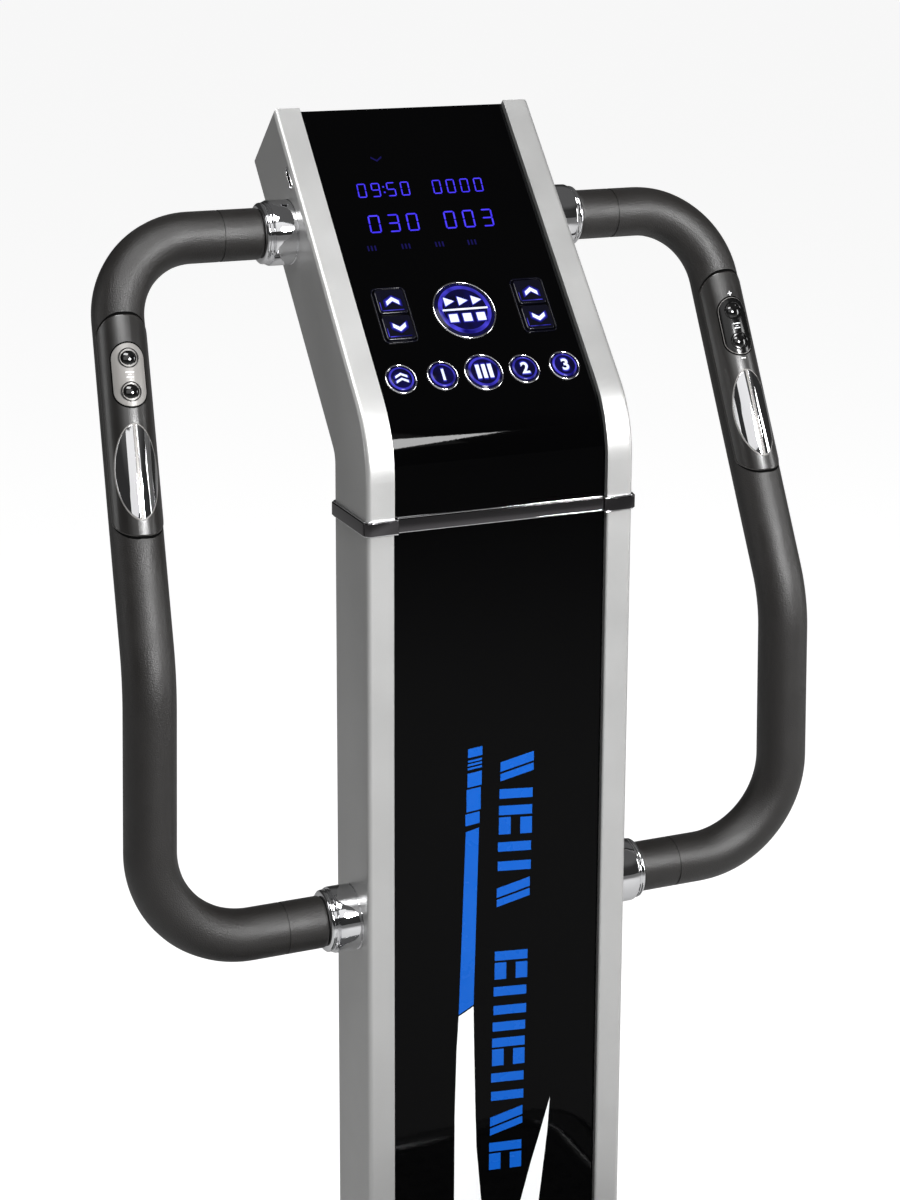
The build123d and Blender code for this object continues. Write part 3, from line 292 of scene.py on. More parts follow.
def box_points(wide, tall, x=0.0, y=0.0):
    """Rectangle about a middle point."""
    return [(x - wide / 2, y - tall / 2), (x + wide / 2, y - tall / 2), (x + wide / 2, y + tall / 2),
            (x - wide / 2, y + tall / 2)]


def raise_plate(bm, thick, edge=0.0, steps=2):
    """Gives every flat face in the mesh a thickness, and softens its upper rim."""
    made = bmesh.ops.extrude_face_region(bm, geom=bm.faces[:])
    top = [e for e in made["geom"] if isinstance(e, bmesh.types.BMVert)]
    bmesh.ops.translate(bm, vec=(0, 0, thick), verts=top)
    if edge:
        bm.normal_update()
        upper = [e for e in bm.edges if all(abs(v.co.z - thick) < level_tolerance for v in e.verts)
                 and any(abs(f.normal.z) < 0.5 for f in e.link_faces)]
        round_edges(bm, upper, edge, steps)


def shapes_mesh(shapes, thick, corner=0.0, edge=0.0):
    """Several flat shapes given a thickness, in one mesh."""
    bm = bmesh.new()
    for points in shapes:
        outline_face(bm, points, corner, 3)
    raise_plate(bm, thick, edge)
    return bm


def lathe(profile, steps=64):
    """Turns a profile of (radius, height) points about Z."""
    bm = bmesh.new()
    verts = [bm.verts.new((r, 0.0, z)) for r, z in profile]
    edges = [bm.edges.new(pair) for pair in zip(verts, verts[1:])]
    bmesh.ops.spin(bm, geom=verts + edges, cent=(0, 0, 0), axis=(0, 0, 1), angle=2 * pi, steps=steps,
                   use_merge=True)
    bmesh.ops.remove_doubles(bm, verts=bm.verts, dist=weld)
    return bm


def merge_meshes(parts):
    """One mesh out of several."""
    whole = bmesh.new()
    for part in parts:
        spare = bpy.data.meshes.new("spare")
        part.to_mesh(spare)
        part.free()
        whole.from_mesh(spare)
        bpy.data.meshes.remove(spare)
    return whole


def axes_at(origin, x_axis, y_axis, z_axis):
    """Matrix that stands local axes at a place."""
    turn = Matrix((x_axis, y_axis, z_axis)).transposed().to_4x4()
    return Matrix.Translation(origin) @ turn


# ---- the head's face: x to the right, y up the slope, z out of the face ----
face_up = Vector((0, cos(head_pitch), sin(head_pitch)))
face_out = Vector((0, -sin(head_pitch), cos(head_pitch)))
head_corner = Vector((0, column_front, band_z + vertex_rise))


def on_head(x, rise, out=0.0):
    """Local axes at a place on the fascia's surface."""
    origin = head_corner + face_up * rise + face_out * (out - panel_recess) + Vector((x, 0, 0))
    return axes_at(origin, Vector((1, 0, 0)), face_up, face_out)


# ---- chrome trim band between column and head ----
band_front = band_low.y
band_step = rail_inner - 0.003
band_corner, band_step_corner = 0.0065, 0.0016
lip_height, lip_inset = 0.0012, 0.0009
band_points = [
    (band_low.x, band_high.y), (band_low.x, band_front), (-band_step, band_front),
    (-band_step, band_front + panel_recess), (band_step, band_front + panel_recess), (band_step, band_front),
    (band_high.x, band_front), (band_high.x, band_high.y),
]


def band_ring(grow, low, high, wall, bead):
    """Ring that follows the column's outline with a step in front of the panel."""
    bm = bmesh.new()
    middle_y = (band_low.y + band_high.y) / 2
    points = []
    for x, y in band_points:
        out_x = grow if abs(x) > rail_inner else 0.0
        points.append((x + (out_x if x > 0 else -out_x), y + (grow if y > middle_y else -grow)))
    face = bm.faces.new([bm.verts.new((x, y, low)) for x, y in points])
    corners = [v for v in face.verts if abs(v.co.x) > rail_inner]
    bmesh.ops.bevel(bm, geom=corners, offset=band_corner, segments=8, profile=0.5, affect="VERTICES",
                    material=-1)
    steps = [v for v in bm.verts if abs(abs(v.co.x) - band_step) < 0.001]
    bmesh.ops.bevel(bm, geom=steps, offset=band_step_corner, segments=3, profile=0.5, affect="VERTICES",
                    material=-1)
    keep_rim(bm, wall)
    made = bmesh.ops.extrude_face_region(bm, geom=bm.faces[:])
    top = [v for v in made["geom"] if isinstance(v, bmesh.types.BMVert)]
    bmesh.ops.translate(bm, vec=(0, 0, high - low), verts=top)
    bmesh.ops.recalc_face_normals(bm, faces=bm.faces)
    rounded = []
    for edge in bm.edges:
        level = edge.verts[0].co.z
        flat = abs(level - edge.verts[1].co.z) < level_tolerance
        walls = [f for f in edge.link_faces if abs(f.normal.z) < 0.5]
        if flat and walls and len(edge.link_faces) == 2:
            middle = (edge.verts[0].co + edge.verts[1].co) / 2
            outward = walls[0].normal.dot(Vector((middle.x, middle.y - middle_y, 0)))
            stepped = abs(middle.x) < rail_inner + 0.001 and middle.y < column_front + 0.004
            if outward > 0 or stepped:
                rounded.append(edge)
    round_edges(bm, rounded, bead, 7)
    return bm


bead = band_ring(0.0, band_low.z + lip_height, band_high.z - lip_height, 0.009, 0.0045)
band_bead = add_piece("band_bead", bead, [dark_chrome], "root", 50)
lips = merge_meshes([band_ring(-lip_inset, z, z + lip_height, 0.008, 0.0004)
                     for z in (band_low.z, band_high.z - lip_height)])
add_piece("band_lips", lips, [chrome], "root", 50)
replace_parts(band_bead, "trim_band")

# ---- handle collars ----
collar_low, collar_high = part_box("handle_collars")
collar_radius = 0.028
collar_length = collar_high.x - half_column
upper_rail = Vector((0, collar_high.y - collar_radius, collar_high.z - collar_radius))
lower_rail = Vector((0, collar_low.y + collar_radius, collar_low.z + collar_radius))
tube_radius = 0.014
collar_profile = [
    (tube_radius, 0.0), (0.0280, 0.0), (0.0280, 0.0008), (0.0275, 0.0011), (0.0275, 0.0017),
    (0.0279, 0.0021), (0.0280, 0.0060), (0.0280, 0.0140), (0.0279, 0.0196), (0.0276, 0.0204),
    (0.0262, 0.0207), (0.0259, 0.0212), (0.0264, 0.0216), (0.0267, 0.0223), (0.0264, 0.0230),
    (0.0257, 0.0234), (0.0256, 0.0240), (0.0260, 0.0245), (0.0262, 0.0253), (0.0260, 0.0263),
    (0.0252, 0.0272), (0.0238, 0.0278), (tube_radius, 0.0280), (tube_radius, 0.0),
]
collars = []
for side, side_word in ((-1, "left"), (1, "right")):
    for rail, height_word in ((upper_rail, "upper"), (lower_rail, "lower")):
        bm = lathe(collar_profile, 96)
        outward = Vector((side, 0, 0))
        stand = axes_at(rail + outward * half_column, Vector((0, 0, 1)), Vector((0, side, 0)), outward)
        name = f"collar_{height_word}_{side_word}"
        collars.append(add_piece(name, moved(bm, stand), [chrome], "root"))
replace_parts(collars[0], "handle_collars")

# ---- foam grips ----
upper_reach, elbow_reach, lower_reach = 0.276, 0.293, 0.298   # out from the middle of the column
elbow_z = band_z - 0.117
bend_sizes = (0.070, 0.130, 0.085)                            # upper bend, elbow, lower bend


def rail_corners(side):
    """Corners of one handrail's centre line, from the head round to the column."""
    upper_y, upper_z, lower_y, lower_z = upper_rail.y, upper_rail.z, lower_rail.y, lower_rail.z
    return [
        Vector((side * (half_column + collar_length), upper_y, upper_z)),
        Vector((side * upper_reach, upper_y, upper_z)),
        Vector((side * elbow_reach, lower_y, elbow_z)),
        Vector((side * lower_reach, lower_y, lower_z)),
        Vector((side * (half_column + collar_length), lower_y, lower_z)),
    ]


def rounded_route(corners, sizes, step=0.004):
    """Points along straight runs joined by arcs."""
    points = []
    start = corners[0]
    for before, corner, after, size in zip(corners, corners[1:], corners[2:], sizes):
        arrive = (corner - before).normalized()
        leave = (after - corner).normalized()
        turn = arrive.angle(leave)
        reach = size * tan(turn / 2)
        first = corner - arrive * reach
        run = (first - start).length
        count = max(2, round(run / step))
        points += [start.lerp(first, i / count) for i in range(count)]
        inward = (leave - arrive).normalized()
        centre = corner + inward * (size / cos(turn / 2))
        spoke = first - centre
        axis = arrive.cross(leave).normalized()
        count = max(4, round(size * turn / step))
        points += [centre + Matrix.Rotation(turn * i / count, 3, axis) @ spoke for i in range(count)]
        start = corner + leave * reach
    count = round((corners[-1] - start).length / step)
    points += [start.lerp(corners[-1], i / count) for i in range(count + 1)]
    return points


seam_place = 0.036
seam_width = 0.0009
seam_share = 0.970           # of the full radius, in the seam
end_round, end_drop = 0.003, 0.10
swell_share, swell_length = 0.004, 0.31


def foam_size(along, length):
    """Share of the full radius at a distance along the grip: rounded ends, moulding seams, soft swell."""
    to_end = min(along, length - along)
    share = 1.0 - swell_share * (1 - cos(along * 2 * pi / swell_length)) / 2
    if to_end < end_round:
        share *= 1 - end_drop * (1 - sqrt(max(0.0, 1 - (1 - to_end / end_round) ** 2)))
    if abs(to_end - seam_place) < seam_width:
        share *= seam_share
    return share


def foam_grip(side, side_word):
    """Foam sleeve swept along the handrail."""
    route = rounded_route(rail_corners(side), bend_sizes)
    along = [0.0]
    for before, after in zip(route, route[1:]):
        along.append(along[-1] + (after - before).length)
    length = along[-1]
    extra = [0.0004, 0.0010, 0.0018, end_round]
    extra += [seam_place + s * seam_width for s in (-1.05, -0.95, 0.0, 0.95, 1.05)]
    marks = sorted(extra) + sorted(length - e for e in extra)
    stations = sorted(set([a for a in along if all(abs(a - m) > 0.0006 for m in marks)] + marks))
    curve = bpy.data.curves.new(f"foam_line_{side_word}", "CURVE")
    curve.dimensions = "3D"
    curve.bevel_depth = foam_radius
    curve.bevel_resolution = 14
    curve.use_fill_caps = True
    curve.twist_mode = "MINIMUM"
    spline = curve.splines.new("POLY")
    spline.points.add(len(stations) - 1)
    index = 0
    for point, station in zip(spline.points, stations):
        while index < len(along) - 2 and along[index + 1] < station:
            index += 1
        share = (station - along[index]) / (along[index + 1] - along[index])
        point.co = (*route[index].lerp(route[index + 1], share), 1)
        point.radius = foam_size(station, length)
    bm = solid_from_curve(f"foam_line_{side_word}", curve)
    bmesh.ops.dissolve_degenerate(bm, edges=bm.edges, dist=level_tolerance)
    piece = add_piece(f"foam_sleeve_{side_word}", bm, [foam], "root", 40)
    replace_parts(piece, f"foam_grip_{side_word}")
    return piece


# ---- sensor pods on the foam ----
pod_start, pod_length, pod_width, pod_corner = 0.066, 0.184, 0.039, 0.016
plate_rise, plate_length, plate_width = 0.117, 0.053, 0.026
pulse_rise, pulse_length, pulse_width = 0.197, 0.078, 0.033
button_pitch = 0.028
plate_corner, groove_margin, strip_margin = 0.0128, 0.0026, 0.002
seam_shade_long, seam_shade_wide = 0.0038, 0.0020                         # how far the painted seam shade shows round the shell
pulse_gap = 0.0009                                            # half the gap between the two halves
wrap_limit = 0.97                                             # a mesh never reaches the rail's very side

# Radius about the rail's centre line at which each layer of the pod starts.
shell_seat, seam_shade_seat, plate_seat, groove_seat = 0.0195, 0.02115, 0.0217, 0.0223
pulse_seat, strip_seat, mark_seat, sign_seat = 0.0216, 0.02205, 0.02325, 0.02272
mark_thick = 0.00012

dome_profile = [(0.0, 0.0248), (0.0024, 0.02462), (0.0045, 0.0240), (0.0062, 0.0230), (0.0071, 0.0217),
                (0.0074, 0.0205), (0.0074, 0.0180), (0.0, 0.0180)]
dome_ring_profile = [(0.0075, 0.0205), (0.0075, 0.0232), (0.0078, 0.0235), (0.0082, 0.0235), (0.0085, 0.0230),
                     (0.0085, 0.0205), (0.0075, 0.0205)]
lean = Vector((0, upper_rail.y - lower_rail.y, upper_rail.z - elbow_z)).normalized()
pod_out = Vector((0, -lean.z, lean.y))


def pod_axes(side):
    """Local axes on the leaning stretch: x down the rail, y across it, z towards the user."""
    corners = rail_corners(side)
    run = (corners[2] - corners[1]).normalized()
    return axes_at(corners[1], run, pod_out.cross(run), pod_out)


def wrap(bm, radius):
    """Bends a flat mesh over the round rail: its height counts from the given radius."""
    for v in bm.verts:
        reach = radius + v.co.z
        across = max(-wrap_limit, min(wrap_limit, v.co.y / radius))
        v.co.y = reach * across
        v.co.z = reach * sqrt(1 - across ** 2)


def slice_across(bm, width, count):
    """Cuts a flat face lengthwise so that it can bend."""
    for i in range(1, count):
        offset = width / 2 * sin(pi / 2 * (2 * i / count - 1))
        geometry = bm.verts[:] + bm.edges[:] + bm.faces[:]
        bmesh.ops.bisect_plane(bm, geom=geometry, plane_co=(0, offset, 0), plane_no=(0, 1, 0),
                               dist=level_tolerance)


def domed_plate(points, corner, thick, edge, width, cuts, place_x, radius, matrix, corner_steps=10, top=0,
                rim=0):
    """A thin plate that lies on the rail: outline, rounded rim, then bent and put in place."""
    bm = bmesh.new()
    outline_face(bm, points, corner, corner_steps)
    raise_plate(bm, thick, edge, 3)
    for face in bm.faces:
        face.material_index = top if face.calc_center_median().z > thick - weld else rim
    slice_across(bm, width, cuts)
    bmesh.ops.translate(bm, vec=(place_x, 0, 0), verts=bm.verts)
    wrap(bm, radius)
    return moved(bm, matrix)


def ellipse_points(long, wide, low, high, count=40):
    """Outline of one lengthwise strip of an ellipse, between two distances across it."""
    half_long, half_wide = long / 2, wide / 2
    sign = 1 if low >= 0 else -1
    near = low if sign > 0 else -high
    reach = half_long * sqrt(1 - (near / half_wide) ** 2)
    start = atan2(near / half_wide, reach / half_long)
    points = []
    for i in range(count + 1):
        angle = start + (pi - 2 * start) * i / count
        points.append((half_long * cos(angle), sign * half_wide * sin(angle)))
    return points


def add_marks(side, side_word, matrix):
    """Short printed bars between the domes, and a plus and a minus beside them on the right pod."""
    marks = []
    for x, wide, tall in ((plate_rise - 0.002, 0.0009, 0.0075), (plate_rise + 0.0022, 0.0009, 0.0060),
                          (plate_rise + 0.0001, 0.0006, 0.0030)):
        bar = box_points(wide, tall)
        marks.append(domed_plate(bar, 0.0003, mark_thick, 0.0, tall, 4, x, mark_seat, matrix, 2))
    if side > 0:
        above = plate_rise - plate_length / 2 - 0.0036
        below = plate_rise + plate_length / 2 + 0.0034
        for x, wide, tall in ((above, 0.0042, 0.0009), (above, 0.0009, 0.0042), (below, 0.0009, 0.0044)):
            bar = box_points(wide, tall)
            marks.append(domed_plate(bar, 0.0, mark_thick, 0.0, tall, 4, x, sign_seat, matrix, 2))
    add_piece(f"plate_marks_{side_word}", merge_meshes(marks), [print_white], "root", 60)


def add_domes(side_word, matrix):
    """Two domed buttons, each in its ring."""
    for word, sign in (("upper", -1), ("lower", 1)):
        name = f"pod_button_{word}_{side_word}"
        stand = matrix @ Matrix.Translation((plate_rise + sign * button_pitch / 2, 0, 0))
        dome = moved(lathe(dome_profile, 48), stand)
        dome_piece = add_piece(f"dome_{word}_{side_word}", dome, [dome_black], name)
        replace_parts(dome_piece, name)
        ring = moved(lathe(dome_ring_profile, 48), stand)
        add_piece(f"dome_ring_{word}_{side_word}", ring, [dome_black], "root")


def build_pod(side, side_word):
    """Moulded pod with a near-black ring round it as painted shade for its seam, button plate, two domes and the
    split pulse plate.
    """
    matrix = pod_axes(side)
    centre_x = pod_start + pod_length / 2
    # rim=1 gives the shell's rim and sides the lighter finish, a painted edge highlight.
    shell = domed_plate(box_points(pod_length, pod_width), pod_corner, 0.0032, 0.0014, pod_width, 18,
                        centre_x, shell_seat, matrix, rim=1)
    pod = add_piece(f"pod_shell_{side_word}", shell, [pod_black, pod_edge_highlight], "root", 60)
    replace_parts(pod, f"sensor_pod_{side_word}")
    # A near-black ring just larger than the shell: painted shade where the pod's seam meets the foam.
    seam_shade = domed_plate(box_points(pod_length + seam_shade_long, pod_width + seam_shade_wide), pod_corner + 0.0012, 0.0012,
                       0.0004, pod_width + seam_shade_wide, 18, centre_x, seam_shade_seat, matrix)
    add_piece(f"pod_seam_shade_{side_word}", seam_shade, [painted_seam_shade], "root", 60)
    plate = domed_plate(box_points(plate_length, plate_width), plate_corner, 0.0015, 0.0005, plate_width, 12,
                        plate_rise, plate_seat, matrix, top=0 if side < 0 else 1)
    # The ring round the button plate is near-black and barely reflects: painted shade for the groove it stands
    # in.
    groove_long, groove_wide = plate_length + groove_margin, plate_width + groove_margin
    groove = domed_plate(box_points(groove_long, groove_wide), plate_corner + 0.0012, 0.0006, 0.0003,
                         groove_wide, 12, plate_rise, groove_seat, matrix)
    add_piece(f"plate_groove_shade_{side_word}", groove, [painted_seam_shade], "root", 60)
    halves = []
    for low, high in ((pulse_gap, pulse_width / 2), (-pulse_width / 2, -pulse_gap)):
        outline = ellipse_points(pulse_length, pulse_width, low, high)
        halves.append(domed_plate(outline, 0.0, 0.0016, 0.0006, pulse_width, 14, pulse_rise, pulse_seat,
                                  matrix))
    strip_long, strip_wide = pulse_length + strip_margin, pulse_width + strip_margin
    far_half = ellipse_points(strip_long, strip_wide, 0.0, pulse_width / 2)
    near_half = ellipse_points(strip_long, strip_wide, -pulse_width / 2, -0.0001)
    strip = domed_plate(far_half + near_half[::-1][1:-1], 0.0, 0.0008, 0.0003, strip_wide, 14, pulse_rise,
                        strip_seat, matrix)
    add_marks(side, side_word, matrix)
    add_domes(side_word, matrix)
    return plate, halves, strip


plates, halves, strips = [], [], []
for side, side_word in ((-1, "left"), (1, "right")):
    foam_grip(side, side_word)
    plate, side_halves, strip = build_pod(side, side_word)
    plates.append(plate)
    halves += side_halves
    strips.append(strip)
button_plates = add_piece("button_plates", merge_meshes(plates), [plate_grey, plate_dark],
                          "root", 60)
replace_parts(button_plates, "pod_plates")
pulse_halves = add_piece("pulse_halves", merge_meshes(halves), [chrome], "root", 60)
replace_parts(pulse_halves, "pulse_plates")
add_piece("pulse_strips", merge_meshes(strips), [plate_grey], "root", 60)

# ---- console buttons ----
start_rise, preset_rise = 0.117, 0.056
preset_pitch, key_offset = 0.037, 0.0635
key_wide, key_tall = 0.026, 0.0235
button_proud = 0.0022
cap_depth = 0.006
rim_from, rim_to = 0.78, 0.88                # share of a cap's radius that its lit rim covers
number_sizes = (0.0105, 0.0122, 0.0138)      # height of a number, of its halo and of the haze round that
layer_thick = (0.0004, 0.0003, 0.0002)       # the same three layers' thickness
halo_spread, haze_spread = 0.0008, 0.0020


def grown(shapes, size):
    """The same shapes, larger about their own middles."""
    larger = []
    for points in shapes:
        middle_x = sum(x for x, y in points) / len(points)
        middle_y = sum(y for x, y in points) / len(points)
        reach = max(hypot(x - middle_x, y - middle_y) for x, y in points)
        scale = 1 + size / reach
        larger.append([(middle_x + (x - middle_x) * scale, middle_y + (y - middle_y) * scale) for x,
                       y in points])
    return larger


def number_mesh(text, tall, thick):
    """A plain number as a solid, centred, lying flat."""
    letters = bpy.data.curves.new("number", "FONT")
    letters.body = text
    letters.size = tall * 1.38
    letters.offset = tall * 0.035
    letters.extrude = thick / 2
    letters.align_x = "CENTER"
    bm = solid_from_curve("number", letters)
    low_x, high_x = min(v.co.x for v in bm.verts), max(v.co.x for v in bm.verts)
    low_y, high_y = min(v.co.y for v in bm.verts), max(v.co.y for v in bm.verts)
    bmesh.ops.translate(bm, vec=(-(low_x + high_x) / 2, -(low_y + high_y) / 2, thick / 2), verts=bm.verts)
    return bm


def round_cap(name, x, rise, radius, glyphs, number=None):
    """Domed lit cap in a chrome ring, with its raised glyph."""
    profile = [(0.0, button_proud), (radius * 0.45, button_proud - 0.0001),
               (radius * 0.76, button_proud - 0.0004), (radius * 0.86, button_proud - 0.0007),
               (radius * 0.90, button_proud - 0.0010), (radius, 0.0004), (radius, -cap_depth), (0.0, -cap_depth)]
    cap = lathe(profile, 96)
    for face in cap.faces:
        middle = face.calc_center_median()
        distance = hypot(middle.x, middle.y)
        face.material_index = 1 if radius * rim_from < distance < radius * rim_to else 0
    cap = moved(cap, on_head(x, rise))
    piece = add_piece(f"{name}_cap", cap, [cap_glow, rim_glow], name, 60)
    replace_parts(piece, name)
    if number:
        layers = [number_mesh(number, tall, thick) for tall, thick in zip(number_sizes, layer_thick)]
    else:
        outlines = ((glyphs, 0.0003), (grown(glyphs, halo_spread), 0.0003),
                    (grown(glyphs, haze_spread), 0.0008))
        layers = [shapes_mesh(shapes, thick, corner) for (shapes, corner),
                  thick in zip(outlines, layer_thick)]
    stand = on_head(x, rise, button_proud - 0.00025)
    for bm, finish, word in zip(layers, (glyph_white, glyph_halo, soft_halo), ("glyph", "halo", "haze")):
        add_piece(f"{name}_{word}", moved(bm, stand), [finish], name)


def cap_ring(x, rise, radius):
    """Chrome ring round a cap."""
    inner = radius + 0.0004
    profile = [(0.0, 0.0), (0.0, 0.0008), (0.0003, 0.0012), (0.0008, 0.0013), (0.0013, 0.0010),
               (0.0016, 0.0003), (0.0016, 0.0), (0.0, 0.0)]
    return moved(lathe([(inner + out, height) for out, height in profile], 96), on_head(x, rise))


def triangle(x, y, size):
    """Play mark that points to the right."""
    return [(x - size / 2, y - size / 2), (x + size / 2, y), (x - size / 2, y + size / 2)]


def chevron(x, y, wide, tall, thick, up=1):
    """Arrow head as one outline."""
    half = wide / 2
    points = [(x - half, y - up * tall / 2), (x, y + up * (tall / 2 - thick)), (x + half, y - up * tall / 2),
              (x + half, y + up * (thick - tall / 2)), (x, y + up * tall / 2),
              (x - half, y + up * (thick - tall / 2))]
    return points if up > 0 else points[::-1]


segment_sets = {"0": "abcdef", "1": "bc", "2": "abged", "3": "abgcd", "4": "fgbc", "5": "afgcd",
                "6": "afgedc", "7": "abc", "8": "abcdefg", "9": "abcdfg"}


def digit_shapes(digit, x, y, wide, tall, thick, slant=0.07):
    """Seven-segment digit: bars with pointed ends, leaning slightly."""
    half_w, half_h, half_t = wide / 2 - thick / 2, tall / 2 - thick / 2, thick / 2
    gap = thick * 0.16
    places = {"a": (0, half_h, 0), "g": (0, 0, 0), "d": (0, -half_h, 0), "f": (-half_w, half_h / 2, 1),
              "b": (half_w, half_h / 2, 1), "e": (-half_w, -half_h / 2, 1), "c": (half_w, -half_h / 2, 1)}
    shapes = []
    for letter in segment_sets[digit]:
        px, py, upright = places[letter]
        reach = (half_h / 2 if upright else half_w) - gap
        bar = [(-reach, 0), (-reach + half_t, -half_t), (reach - half_t, -half_t), (reach, 0),
               (reach - half_t, half_t), (-reach + half_t, half_t)]
        if upright:
            bar = [(-v, u) for u, v in bar]
        shapes.append([(x + px + u + slant * (py + v), y + py + v) for u, v in bar])
    return shapes


mark_pitch, mark_rise = 0.0125, 0.0082
start_glyphs = [triangle(-mark_pitch + mark_pitch * i, mark_rise, 0.0086) for i in range(3)]
start_glyphs += [box_points(0.0076, 0.0076, -mark_pitch + mark_pitch * i, -mark_rise) for i in range(3)]
start_glyphs += [box_points(0.041, 0.0017)]
mode_glyphs = [box_points(0.0034, 0.0130, x, 0.0) for x in (-0.0055, 0.0, 0.0055)]
wave_glyphs = [chevron(0.0, 0.0025 - 0.0046 * i, 0.0105, 0.0048, 0.0021) for i in range(2)]
round_caps = [
    ("start_stop_button", 0.0, start_rise, 0.0262, start_glyphs),
    ("mode_button", 0.0, preset_rise, 0.0155, mode_glyphs),
    ("preset_button_1", -2 * preset_pitch, preset_rise, 0.012, wave_glyphs),
]
for number, steps in ((1, -1), (2, 1), (3, 2)):
    round_caps.append((f"preset_button_{number + 1}", steps * preset_pitch, preset_rise, 0.012, None,
                       str(number)))
rings = []
for round_button in round_caps:
    round_cap(*round_button)
    rings.append(cap_ring(*round_button[1:4]))

key_edges = []
arrow_x = 0.001
edge_line = 0.0007


def key_layers(up):
    """What glows on an arrow key: name, shapes, thickness, corner, depth below the key's top, finish."""
    low_edge = [box_points(0.019, edge_line, 0.0, -key_tall / 2 + 0.0030),
                box_points(edge_line, 0.0080, -key_wide / 2 + 0.0026, -key_tall / 2 + 0.0072)]
    arrow = [chevron(arrow_x, 0.0, 0.0112, 0.0078, 0.0038, up)]
    halo = [chevron(arrow_x, 0.0, 0.0130, 0.0096, 0.0052, up)]
    haze = [chevron(arrow_x, 0.0, 0.0158, 0.0122, 0.0074, up)]
    return [
        ("arrow", arrow, 0.0004, 0.0002, 0.0002, glyph_white),
        ("arrow_halo", halo, 0.0002, 0.0002, 0.0001, glyph_halo),
        ("arrow_haze", haze, 0.0002, 0.0010, 0.00017, soft_halo),
        ("edge_light", low_edge, 0.0003, 0.0002, 0.0002, rim_glow),
    ]


for side, side_word in ((-1, "left"), (1, "right")):
    for up, word in ((1, "up"), (-1, "down")):
        name = f"key_{word}_{side_word}"
        rise = start_rise + up * (key_tall / 2 + 0.001)
        bm = bmesh.new()
        outline_face(bm, box_points(key_wide, key_tall), 0.003, 6)
        raise_plate(bm, cap_depth + button_proud, 0.0011, 4)
        bmesh.ops.translate(bm, vec=(0, 0, -cap_depth), verts=bm.verts)
        cap = moved(bm, on_head(side * key_offset, rise))
        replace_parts(add_piece(f"{name}_cap", cap, [key_black], name, 50), name)
        for layer, shapes, thick, corner, sunk, finish in key_layers(up):
            stand = on_head(side * key_offset, rise, button_proud - sunk)
            bm = moved(shapes_mesh(shapes, thick, corner), stand)
            add_piece(f"{name}_{layer}", bm, [finish], name)
    bm = bmesh.new()
    outline_face(bm, box_points(key_wide + 0.0048, 2 * key_tall + 0.0068), 0.005, 6)
    keep_rim(bm, 0.0011)
    raise_plate(bm, 0.0010, 0.0003, 2)
    key_edges.append(moved(bm, on_head(side * key_offset, start_rise)))
bezels = add_piece("bezel_rings", merge_meshes(rings), [chrome], "root", 60)
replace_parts(bezels, "button_bezels")
add_piece("key_frames", merge_meshes(key_edges), [key_black], "root", 60)

# ---- socket in the head's side ----
usb_rise, usb_depth = 0.261, 0.0078
socket_ring = bmesh.new()
outline_face(socket_ring, box_points(0.0200, 0.0070), 0.0008, 3)
keep_rim(socket_ring, 0.0013)
raise_plate(socket_ring, 0.0006, 0.0002, 2)
socket_place = head_corner + face_up * usb_rise - face_out * usb_depth + Vector((-half_column, 0, 0))
socket_stand = axes_at(socket_place, face_up, -face_out, Vector((-1, 0, 0)))
add_piece("socket_frame", moved(socket_ring, socket_stand), [chrome], "root", 50)

# ---- lit display behind the fascia ----
display_x = 0.002
row_one, row_two, label_row = 0.2425, 0.2080, 0.184


small_digit = (0.0080, 0.0144, 0.0011)     # width, height and bar of a digit in the upper row
large_digit = (0.0104, 0.0180, 0.0014)
colon_dot, colon_rise = 0.0013, 0.0028
display_sink = 0.00002


def number_row(text, start_x, rise, size, pitch):
    """Digits in a row from its left end."""
    shapes = []
    for i, digit in enumerate(text):
        shapes += digit_shapes(digit, start_x + display_x + i * pitch + size[0] / 2, rise, *size)
    return shapes


digits = number_row("09", -0.0655, row_one, small_digit, 0.0128)
digits += number_row("50", -0.0385, row_one, small_digit, 0.0128)
digits += [box_points(colon_dot, colon_dot, -0.0412 + display_x, row_one + dy)
           for dy in (-colon_rise, colon_rise)]
digits += number_row("0000", 0.0040, row_one, small_digit, 0.0130)
digits += number_row("030", -0.0640, row_two, large_digit, 0.0174)
digits += number_row("003", 0.0055, row_two, large_digit, 0.0174)
dim_marks = [chevron(-0.0397 + display_x, 0.2745, 0.010, 0.0055, 0.0018, -1)]
for x in (-0.0677, -0.0367, -0.0059, 0.0242):
    dim_marks += [box_points(0.0014, 0.0050, x + display_x + step, label_row)
                  for step in (-0.0032, 0.0, 0.0032)]
for name, shapes, thick, finish in (("display_digits", digits, 0.00014, digit_blue),
                                    ("display_haze", grown(digits, 0.0007), 0.00007, digit_haze),
                                    ("display_marks", dim_marks, 0.0001, dim_blue)):
    bm = moved(shapes_mesh(shapes, thick), on_head(0, 0, -display_sink))
    add_piece(name, bm, [finish], "root")

# ---- printed motif on the column ----
print_depth = 0.00014


def on_panel(shapes, name, finish):
    """Thin print on the column's panel; heights count down from the band."""
    bm = shapes_mesh(shapes, print_depth)
    stand = axes_at(Vector((0, panel_front + print_depth * 0.1, band_z)), Vector((1, 0, 0)),
                    Vector((0, 0, 1)), Vector((0, -1, 0)))
    add_piece(name, moved(bm, stand), [finish], "root")


def slanted(x, low, high, wide=0.013, rake=0.0012):
    """Upright block with raked ends."""
    return [(x - wide / 2, low - rake), (x + wide / 2, low), (x + wide / 2, high),
            (x - wide / 2, high - rake)]


